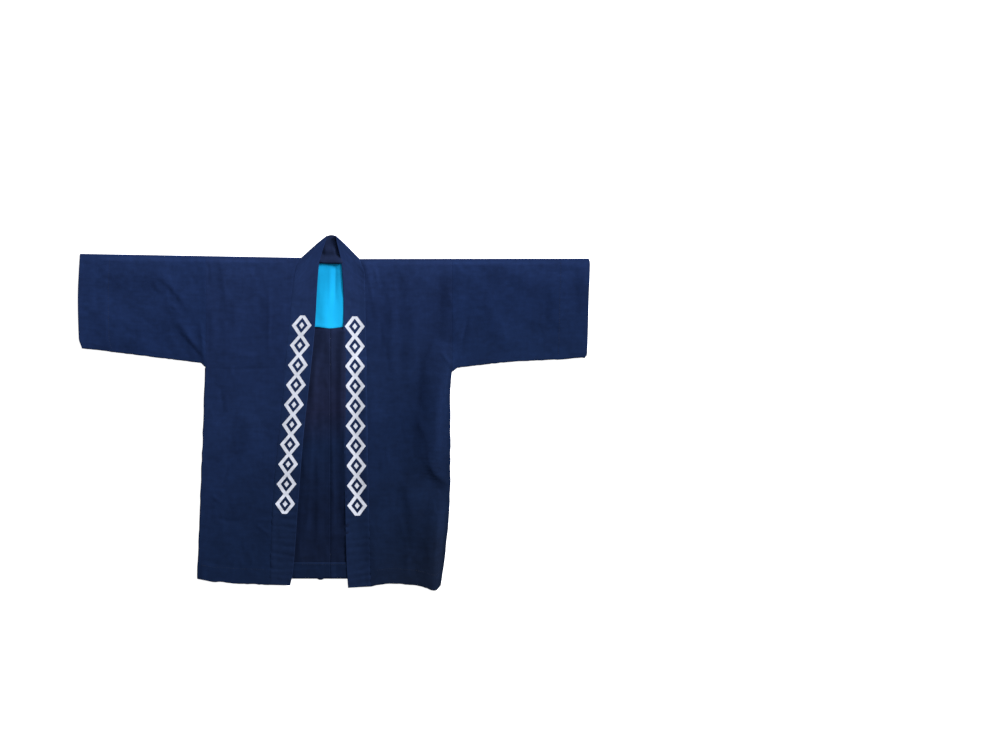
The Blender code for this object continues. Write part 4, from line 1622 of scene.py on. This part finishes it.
@dataclass
class Collar:
    """One strip folded double lengthwise: up one front, round the back of the neck, down the other."""

    pitch: float = 3.3
    columns: int = 16
    seam_places: tuple[float, ...] = (0.0, 0.006, 0.015, 0.028)  # first columns, close together at the seam
    free_places: tuple[float, ...] = (0.99, 1.0)
    first_rows: float = 4.0        # rows are closer together up to this height above the hem
    fold_steps: int = 10
    edge_steps: int = 6
    neck_rows: int = 56
    cloth: float = 0.7
    edge_turn: float = 1.5         # how far the seam edge's quarter round reaches, in edge radii
    lift_power: float = 1.7        # how late across the band its free edge starts to rise
    pucker_pitch: float = 17.0
    pucker_depth: float = 1.5
    pucker_slant: float = 8.0      # how much lower a pucker meets the free edge than the seam
    pucker_power: float = 0.7      # how broad the puckers' crests are
    pucker_mean: float = 0.6
    pucker_least: float = 0.22     # share of their depth above pucker_levels
    pucker_levels: Pair = (-560.0, -620.0)
    on_body: float = 0.75          # how far across the band the front's creases show through
    sewn: float = 0.35             # how far the band is drawn down at its seam, and over what share of it
    sewn_share: float = 0.07
    fold_heading: Pair = (0.0, 0.7)  # where across the band its fold's bulge turns off the vertical
    fold_flat: float = 0.3         # share of the fold's bulge that is left at the free edge
    fold_flat_from: float = 0.6
    top_margin: float = 0.2        # how far the top edge stands out beyond the slanted folds' round
    tape: float = 0.35             # lift over the seam allowance under the back of the collar
    tape_step: Pair = (10.5, 9.1)
    crown: Pair = (0.8, 2.8)       # lift of the middle of the back, and more round crown_middle
    crown_middle: float = 18.0
    crown_width: float = 9.0
    lip_fade: Pair = (12.0, -9.0)  # y where the collar's stand is gone, and where it is full
    print_edge: float = 1.0        # place of the free edge on the flat cloth, beyond half the band's width
    cut_width: float = 0.118
    cut_length: float = 1.79

    @property
    def edge_radius(self) -> float:
        """Radius of the fold along the free edge."""
        return (BAND - self.cloth) / 2

    def across(self) -> Array:
        """Places from the seam edge, 0, to the free edge, 1, closer together at both."""
        return np.concatenate([self.seam_places, even(self.columns)[1:-1], self.free_places])

    def band_front(self, half: Half) -> Array:
        """Lay the band on one front, from its hem up to the slanted fold's axis.

        Puckers follow |sin|^power of a place along the band, a little slanted and uneven.

        Args:
            half: the half of the coat that it lies on.

        Returns:
            Rows of the band's middle surface.
        """
        first = self.first_rows - BODY_LENGTH
        level = rows_of_cloth((-BODY_LENGTH, first, FINE), (first, 0.0, self.pitch))
        out = self.across()
        seam_x = through(half.seam, level) - half.sign * (SEAM_HALF + NECK_TUCK * ease(level, TUCK_BEND, 0.0))
        seam_y = half.front_row_y(level, seam_x)
        lift = ease(level, BAND_BEND, 0.0)
        free_x = through(half.free, mix(level, PEAK_RISE, lift))
        free_x = free_x + half.sign * (self.edge_radius + self.cloth / 2)
        free_y = mix(half.front_row_y(level, free_x), PEAK_RISE, lift)
        x = mix(seam_x[:, None], free_x[:, None], out)
        y = mix(seam_y[:, None], free_y[:, None], out)
        row = level[:, None]
        raised = through(half.band_lift, row) * out**self.lift_power
        waves = sum(ripple.at(x, y) for ripple in BAND_RIPPLES)
        turns = (row + self.pucker_slant * out) / self.pucker_pitch + PUCKER_WANDER.at(x, y)
        share = mix(self.pucker_least, 1.0, ease(row, *self.pucker_levels)) * PUCKER_SHARE.above(x, y)
        crest = np.abs(np.sin(math.pi * turns)) ** self.pucker_power - self.pucker_mean
        pucker = self.pucker_depth * share * crest
        below_fold = half.shoulder_axis(x) - y
        calm = ease(PEAK_RISE - y, 0.0, 3 * EDGE_CALM) * ease(below_fold, -PEAK_RISE, EDGE_CALM)
        from_body = front_relief(x, y) * ease(out, self.on_body, 0.0) * ease(below_fold, 0.0, EDGE_CALM)
        sewn = self.sewn * ease(out, self.sewn_share, 0.0)
        return together(x, y, BAND_FRONT_MID + raised + (waves + pucker - sewn) * calm + from_body)

    def band_fold(self, half: Half, axis: Array) -> Array:
        """Fold the band by half a turn about the slanted line from the neck point to the peak.

        Args:
            half: the half of the coat that it lies on.
            axis: the row of points that the fold starts from.

        Returns:
            The fold's rows without its two ends.
        """
        turn = half_turn(self.fold_steps)[:, None]
        run = axis[-1, :2] - axis[0, :2]
        normal = unit(np.array([-run[1], run[0]]) * -half.sign)
        out = self.across()
        upright = np.array([0.0, 1.0])
        heading = mix(upright, normal, ease(out, *self.fold_heading)[:, None])
        swing = BAND_RADIUS * np.sin(turn) * mix(1.0, self.fold_flat, ease(out, self.fold_flat_from, 1.0))
        inward = half.sign * BAND / 2 * np.sin(turn) * (1.0 - out) ** 2
        x = axis[:, 0] + swing * heading[:, 0] - inward
        y = axis[:, 1] + swing * heading[:, 1]
        return together(x, y, mix(BAND_BACK_MID, axis[:, 2], (1.0 + np.cos(turn)) / 2))

    def behind_neck(self, start: Array, end: Array) -> Array:
        """Lay the band round the back of the neck.

        Args:
            start: the right front's last row.
            end: the left front's last row.

        Returns:
            Rows of the band's middle surface from right to left.
        """
        part = even(self.neck_rows)[:, None]
        out = self.across()
        arch = np.sin(math.pi * part)
        place = -np.cos(math.pi * part)
        seam_x = place * (NECK_HALF - SEAM_HALF - NECK_TUCK)
        seam_y = neckline(place) + 2 * SEAM_HALF * arch
        free_x = mix(start[-1, 0], end[-1, 0], part)
        free_y = PEAK_RISE + (BAND_RADIUS + self.cloth / 2 + self.top_margin) * arch
        x, y = mix(seam_x, free_x, out), mix(seam_y, free_y, out)
        taped = self.tape * ease(y, *self.tape_step)
        crown = self.crown[0] + self.crown[1] * bell(y, self.crown_middle, self.crown_width)
        lip = (neck_rise(x, y) + NECK_STAND.at(x)) * ease(y, *self.lip_fade)
        lift = taped + NECK_BAND_RIPPLE.above(x, y) + crown * CROWN.at(x, y) + lip
        return together(x, y, BAND_BACK_MID + lift * arch**0.5)

    def middle(self) -> Array:
        """Join the band's parts, row by row along the strip.

        Returns:
            The whole band's middle surface.
        """
        right, left = self.band_front(RIGHT), self.band_front(LEFT)
        right_fold, left_fold = self.band_fold(RIGHT, right[-1]), self.band_fold(LEFT, left[-1])
        back = self.behind_neck(right[-1], left[-1])
        return np.concatenate([right, right_fold, back, left_fold[::-1], left[::-1]])

    def flat_places(self, middle: Array, distance: Array, turns: int) -> Array:
        """Place the strip's points on the flat cloth, (0, 0) at the fold's middle behind the neck.

        Args:
            middle: the band's middle surface.
            distance: how far each of its points is from the seam edge.
            turns: how many columns the free edge's round has.

        Returns:
            Two places for each point of the strip.
        """
        run = run_along(middle[:, self.columns // 2])
        run = run - run[-1] / 2
        level = run[-1] - np.abs(run) - BODY_LENGTH
        half_width = distance[:, -1:] / 2
        face = distance - half_width
        edge = np.broadcast_to(half_width + self.print_edge, (len(middle), turns))
        across = np.concatenate([face, edge, 3 * half_width - face[:, ::-1]], axis=1)
        return together(across * np.sign(run)[:, None], level[:, None])

    def build(self, finishes: Finishes) -> bpy.types.Object:
        """Build the folded strip: the middle surface pushed out along its normals to both layers.

        The two layers are one edge radius from the middle, joined by half a turn at the free edge,
        and close in on each other at the seam edge by a quarter round.

        Args:
            finishes: the material outside and the one inside.

        Returns:
            The piece.
        """
        middle = self.middle()
        along, out = np.gradient(middle, axis=0), np.gradient(middle, axis=1)
        normal = unit(np.cross(along, out))
        on_front = normal[len(middle) // 8, self.columns // 3]  # a point inside the right front's band
        normal = normal * np.sign(on_front[2])
        aside = unit(np.cross(normal, along))
        aside = aside * np.sign(np.sum(aside * out, axis=-1, keepdims=True))
        distance = np.linalg.norm(middle - middle[:, :1], axis=-1)
        turned = turn_in(distance, self.edge_radius * self.edge_turn) / self.edge_turn
        apart = (self.edge_radius - turned)[..., None]
        top, below = middle + normal * apart, middle - normal * apart
        angle = half_turn(self.edge_steps)[:, None]
        outward = normal[:, -1:] * np.cos(angle) + aside[:, -1:] * np.sin(angle)
        turn = middle[:, -1:] + self.edge_radius * outward
        strip = np.concatenate([top, turn, below[:, ::-1]], axis=1)
        flat = self.flat_places(middle, distance, len(angle))
        piece = cloth_piece("cloth_collar", [Patch(strip, flat)], finishes, self.cloth)
        column = np.arange(strip.shape[1] - 1) >= top.shape[1] + len(angle)
        under = np.broadcast_to(column, (len(strip) - 1, len(column))).reshape(-1)
        piece.data.polygons.foreach_set("material_index", under.astype(np.int32))
        return piece


# ---- lining ----
@dataclass
class YokeLining:
    """The sky-blue lining sewn inside the back below the neck, its lower edge turned under."""

    columns: int = 150
    rows: int = 44
    even_share: float = 0.45       # columns are closer together in the middle, by a cube for the rest
    row_power: float = 1.25
    turned_under: float = 8.0
    under_rows: int = 3
    edge_steps: int = 5
    edge_radius: float = 0.42
    slant: float = 0.8             # how much lower the top edge is on the wearer's left
    slant_from: Pair = (-6.0, 36.0)
    past_fold: float = 2.0         # how far the outer top edges stay clear of the shoulder fold
    past_neck: float = 20.0        # how far beyond the neck point they start
    lift: float = 1.3              # lift of the lining where it is seen
    seen: Pair = (58.0, 36.0)      # distance from the middle where its creases are gone and are full
    calm_top: float = 12.0         # creases fade out over this distance from the top edge
    tuck_reach: float = 26.0       # and the lining comes down to the neck seam over this one
    cut_width: float = 0.47
    cut_length: float = 0.18

    def build(self, finishes: Finishes) -> bpy.types.Object:
        """Build the lining from its top edge to its lower edge, round it and under.

        Args:
            finishes: the material outside and the one inside.

        Returns:
            The piece.
        """
        spread = np.linspace(-1.0, 1.0, self.columns + 1)
        x = LINING_HALF * mix(spread**3, spread, self.even_share)
        inset, bulge = hem_turn(self.edge_steps, self.edge_radius)
        down = even(self.rows) ** self.row_power
        under = even(self.under_rows)[1:] * self.turned_under
        outer_top = -2.0 * (FOLD_RADIUS + CLOTH) - self.past_fold
        neck_top = -LINING_TOP - self.slant * ease(x, *self.slant_from)
        top = mix(outer_top, neck_top, ease(np.abs(x), NECK_HALF + self.past_neck, NECK_HALF / 2))
        bottom = -LINING_BOTTOM - LINING_DIP * ease(np.abs(x), NECK_HALF / 2, 0.0)
        face = mix(top, bottom, down[:, None])
        y = np.concatenate([face, bottom - bulge[:, None], bottom + under[:, None]])
        sink = np.concatenate([np.zeros(len(down)), inset, np.full(len(under), 2 * self.edge_radius)])
        waves = self.lift + sum(crease.lift(x, y) for crease in LINING_CREASES)
        waves = waves * ease(np.abs(x), *self.seen) + LINING_RIPPLE.at(x, y)
        away = ease(-y, LINING_TOP, LINING_TOP + self.calm_top)
        tucked = (LINING_MID - LINING_AT_NECK) * ease(-y, LINING_TOP + self.tuck_reach, LINING_TOP)
        z = LINING_MID - tucked - sink[:, None] + waves * away + swell(x, y) + neck_rise(x, y)
        points = together(x, y, z)
        return cloth_piece("cloth_yoke_lining", [Patch(points, points[..., :2])], finishes, LINING)


# ---- stitches ----
@dataclass
class Stitching:
    """Rows of running stitches, each a short thread that dives into the cloth at both ends.

    Along a stitch, with s from -1 to 1, the thread's middle follows 1 - s^2 above the cloth and
    its radius the square root of 1 - s^4.
    """

    name: str
    thread: float = 0.42
    stitch: float = 3.4
    gap: float = 2.2
    arch: float = 0.75             # height of a stitch's arch, in thread thicknesses
    sunk: float = 0.45             # how deep its ends lie
    thinnest: float = 0.02         # square of the smallest radius, as a share
    sides: int = 6
    sections: int = 7

    def along(self, path: Array) -> Array:
        """Make the stitches along one path.

        Args:
            path: points on the cloth's face.

        Returns:
            Rings of points: stitches x sections x sides x 3.
        """
        run = run_along(path)
        starts = np.arange(self.gap, run[-1] - self.stitch, self.stitch + self.gap)
        s = np.linspace(-1.0, 1.0, self.sections)
        at = starts[:, None] + self.stitch * (s + 1.0) / 2.0
        spine = np.stack([np.interp(at, run, path[:, axis]) for axis in range(3)], axis=-1)
        spine[..., 2] += (self.arch * (1.0 - s**2) - self.sunk) * self.thread
        heading = unit(spine[:, -1:] - spine[:, :1])
        up = np.array([0.0, 0.0, 1.0])
        aside = np.cross(up, heading)[:, :, None]
        turn = (np.arange(self.sides) * 2.0 * math.pi / self.sides)[:, None]
        radius = self.thread / 2 * np.sqrt(np.maximum(1.0 - s**4, self.thinnest))
        ring = np.cos(turn) * aside + np.sin(turn) * up
        return spine[:, :, None] + ring * radius[:, None, None]

    def build(self, paths: list[Array], finish: bpy.types.Material) -> bpy.types.Object:
        """Build all rows as one mesh of closed threads.

        Args:
            paths: points on the cloth's middle surface, one array for each row.
            finish: the thread's material.

        Returns:
            The piece.
        """
        to_face = np.array([0.0, 0.0, CLOTH / 2])
        stitches = np.concatenate([self.along(path + to_face) for path in paths])
        section, side = np.meshgrid(np.arange(self.sections - 1), np.arange(self.sides), indexing="ij")
        here, beside = section * self.sides + side, section * self.sides + (side + 1) % self.sides
        quads = np.stack([here, beside, beside + self.sides, here + self.sides], axis=-1).reshape(-1, 4)
        size = self.sections * self.sides
        first = np.arange(len(stitches))[:, None] * size
        cap = np.arange(self.sides)
        caps = np.concatenate([cap[::-1] + first, cap + size - self.sides + first])
        walls = (quads + first[..., None]).reshape(-1, 4)
        mesh = new_mesh(self.name, stitches.reshape(-1, 3), walls.tolist() + caps.tolist(), (finish,))
        mesh.update()
        return new_object(self.name, mesh)


# ---- finishes ----
# The body's stops are painted light: lighter up at the shoulders, darker down at the hem, and leaning darker
# towards the wearer's left.
NAVY = Cotton(
    "navy_cotton", lean=0.8,
    dyes_and_shade=(
        (-0.413, 0.0039, 0.0092, 0.0288), (-0.223, 0.0038, 0.0103, 0.0350), (-0.100, 0.0045, 0.0117, 0.0405),
        (0.017, 0.0057, 0.0140, 0.0495), (0.077, 0.0066, 0.0156, 0.0542), (0.277, 0.0071, 0.0159, 0.0572),
        (0.377, 0.0093, 0.0201, 0.0701),
    ),
)
# A copy of the body's cotton with darker stops and more lean for the left front: painted shade for the flank
# of its big side fold that faces away from the light.
SHADED_LEFT_NAVY = replace(
    NAVY, name="navy_cotton_left_shaded", lean=1.4,
    dyes_and_shade=(
        (-0.600, 0.0043, 0.0086, 0.0235), (-0.440, 0.0041, 0.0100, 0.0315), (-0.250, 0.0043, 0.0110, 0.0370),
        (-0.090, 0.0048, 0.0124, 0.0440), (0.077, 0.0060, 0.0142, 0.0490), (0.257, 0.0065, 0.0148, 0.0535),
        (0.377, 0.0093, 0.0201, 0.0701),
    ),
)
# The sleeves' cotton: a little darker all over by its tone, its stops with the same painted light as the
# body's.
SLEEVE_NAVY = replace(
    NAVY, name="navy_cotton_sleeve", tone=0.94,
    dyes_and_shade=(
        (0.077, 0.0062, 0.0159, 0.0560), (0.277, 0.0063, 0.0159, 0.0590), (0.377, 0.0086, 0.0201, 0.0725),
    ),
)
# The inside's stops are darker than the outside's: painted shade where the inside shows between the collar
# bands and under the collar, darker towards the hem as well.
NAVY_INSIDE = Cotton(
    "navy_cotton_inside", lean=0.3,
    dyes_and_shade=(
        (-0.373, 0.0038, 0.0079, 0.0250), (-0.203, 0.0034, 0.0079, 0.0274), (-0.043, 0.0044, 0.0109, 0.0367),
        (0.037, 0.0086, 0.0119, 0.0363), (0.177, 0.0090, 0.0143, 0.0422), (0.397, 0.0080, 0.0138, 0.0405),
    ),
)
# The collar's stops, painted light like the body's: lighter up at the neck, darker towards the hem.
BAND_NAVY = Cotton(
    "collar_cotton",
    dyes_and_shade=(
        (-0.413, 0.0048, 0.0112, 0.0360), (-0.223, 0.0049, 0.0122, 0.0400), (0.077, 0.0078, 0.0182, 0.0609),
        (0.277, 0.0099, 0.0218, 0.0736), (0.352, 0.0099, 0.0212, 0.0732), (0.397, 0.0092, 0.0203, 0.0705),
    ),
)
# The lining's stops darken towards the neck: painted shade under the collar, over the cloth's own sky blue.
SKY = Cotton(
    "lining_cotton", thread=0.0004, slub=0.12, cloud=0.08, roughness=0.8, sheen=0.0,
    dyes_and_shade=((0.19, 0.0110, 0.415, 0.80), (0.28, 0.0068, 0.350, 0.68), (0.375, 0.0045, 0.26, 0.52)),
)
NAVY_THREAD = Thread("navy_thread", (0.0050, 0.0100, 0.031, 1.0))


# ---- studio ----
class LightKind(Enum):
    """What gives a light: a far sun or a round soft box."""

    SUN = "SUN"
    BOX = "AREA"


@dataclass(frozen=True)
class Lamp:
    """A light: where it stands or shines from, what it aims at, its strength and how soft it is."""

    name: str
    kind: LightKind
    place: Place
    aim: Place
    strength: float
    softness: float          # degrees of a sun, metres of a soft box

    def build(self) -> None:
        """Make the light, its -Z axis turned to its aim."""
        lamp = bpy.data.lights.new(self.name, self.kind.value)
        lamp.energy = self.strength
        if self.kind is LightKind.SUN:
            lamp.angle = math.radians(self.softness)
        else:
            lamp.shape = "DISK"
            lamp.size = self.softness
        light = new_object(self.name, lamp)
        light.location = self.place
        heading = np.array(self.aim) - np.array(self.place)
        tilt = math.acos(-heading[2] / np.linalg.norm(heading))
        light.rotation_euler = (0.0, tilt, math.atan2(-heading[1], -heading[0]))


@dataclass(frozen=True)
class Floor:
    """A plain pale floor that glows a little."""

    reach: float = 9.0
    drop: float = 0.0003           # how far it lies below the coat
    pale: Colour = (0.93, 0.93, 0.93, 1.0)
    light: Colour = (1.0, 1.0, 1.0, 1.0)
    glow: float = 0.85

    def build(self) -> None:
        mesh = bpy.data.meshes.new("floor")
        signs = ((-1.0, -1.0), (1.0, -1.0), (1.0, 1.0), (-1.0, 1.0))
        mesh.from_pydata([(x * self.reach, y * self.reach, 0.0) for x, y in signs], [], [(0, 1, 2, 3)])
        floor = new_object("floor", mesh)
        floor.location.z = -self.drop
        material, n, shader = new_material("pale_floor")
        n.join(self.pale, shader["Base Color"])
        n.join(1.0, shader["Roughness"])
        n.join(0.0, shader["Specular IOR Level"])
        n.join(self.light, shader["Emission Color"])
        n.join(self.glow, shader["Emission Strength"])
        mesh.materials.append(material)


@dataclass(frozen=True)
class Studio:
    """A straight-down camera, a pale glowing floor, soft light from the upper right, pale air all round."""

    view_centre: Pair = (0.4061, 0.0924)
    view_width: float = 2.446
    camera_height: float = 7.0
    sensor: float = 36.0
    farthest: float = 50.0
    air: float = 0.25
    air_colour: Colour = (0.97, 0.985, 1.0, 1.0)
    floor: Floor = Floor()
    lamps: tuple[Lamp, ...] = (
        Lamp("sky_light", LightKind.SUN, (2.1, 1.5, 1.05), (0.0, 0.0, 0.0), 7.2, 20.0),
        Lamp("soft_box", LightKind.BOX, (0.4, 1.9, 1.1), (0.0, 0.2, 0.0), 18.0, 0.8),
    )

    def build(self) -> None:
        """Make the camera, floor, lights and world."""
        scene = bpy.context.scene
        lens = bpy.data.cameras.new("camera")
        lens.sensor_width = self.sensor
        lens.lens = self.sensor * self.camera_height / self.view_width
        lens.clip_end = self.farthest
        camera = new_object("camera", lens)
        camera.location = (*self.view_centre, self.camera_height)
        scene.camera = camera
        self.floor.build()
        for lamp in self.lamps:
            lamp.build()
        air = bpy.data.worlds.new("air")
        air.use_nodes = True
        background = air.node_tree.nodes["Background"].inputs
        background["Color"].default_value = self.air_colour
        background["Strength"].default_value = self.air
        scene.world = air
        scene.view_settings.view_transform = "Standard"


# ---- the coat ----
@dataclass
class HappiCoat:
    """The whole coat: its panels, sleeves, collar, lining and stitches."""

    panels: list[BodyPanel] = field(default_factory=lambda: [BodyPanel(RIGHT), BodyPanel(LEFT)])
    sleeves: list[Sleeve] = field(default_factory=lambda: [Sleeve(RIGHT), Sleeve(LEFT)])
    collar: Collar = field(default_factory=Collar)
    lining: YokeLining = field(default_factory=YokeLining)
    hem: Stitching = field(default_factory=lambda: Stitching("hem_stitches"))
    cuffs: Stitching = field(default_factory=lambda: Stitching("cuff_stitches"))

    def build(self) -> None:
        weave = Weave().make()
        printed, sleeve_navy = NAVY.make(weave, HempLeaf()), SLEEVE_NAVY.make(weave)
        inside = NAVY_INSIDE.make(weave)
        band = (BAND_NAVY.make(weave, LinkedDiamonds()), NAVY_INSIDE.make(weave))
        sky = (SKY.make(weave), SKY.make(weave))
        thread = NAVY_THREAD.make()
        # The left front takes the copy of the cotton with painted shade.
        navies = {RIGHT: printed, LEFT: SHADED_LEFT_NAVY.make(weave, HempLeaf())}
        bodies = [panel.build((navies[panel.half], inside)) for panel in self.panels]
        tubes = [sleeve.build((sleeve_navy, inside)) for sleeve in self.sleeves]
        hem_paths = [path for panel in self.panels for path in panel.stitch_paths]
        cuff_paths = [path for sleeve in self.sleeves for path in sleeve.stitch_paths]
        hem_piece, cuff_piece = self.hem.build(hem_paths, thread), self.cuffs.build(cuff_paths, thread)
        band_piece, lining_piece = self.collar.build(band), self.lining.build(sky)

        for panel, piece in zip(self.panels, bodies):
            self.declare(piece, "body_" + panel.half.name, "navy_cotton")
        for sleeve, piece in zip(self.sleeves, tubes):
            self.declare(piece, "sleeve_" + sleeve.half.name, "navy_cotton")
        self.declare(band_piece, "collar", "collar_cotton")
        self.declare(lining_piece, "yoke_lining", "lining_cotton")
        for piece in (hem_piece, cuff_piece):
            self.declare(piece, None, "navy_cotton")

    @staticmethod
    def declare(piece: bpy.types.Object, node: str | None, slot: str) -> None:
        """Let a piece ride on the coat and hide the solid that it stands for, and report it.

        Args:
            piece: the piece.
            node: the solid that it stands for, if it stands for one.
            slot: not used.
        """
        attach(piece, "root")
        if node is not None:
            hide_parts(node)
        log.info("%s: %d faces", piece.name, len(piece.data.polygons))


def main() -> None:
    """Build the studio and the coat."""
    logging.basicConfig(level=logging.INFO, format="%(name)s %(message)s")
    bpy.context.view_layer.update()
    Studio().build()
    HappiCoat().build()
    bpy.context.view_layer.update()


if __name__ == "__main__":
    main()
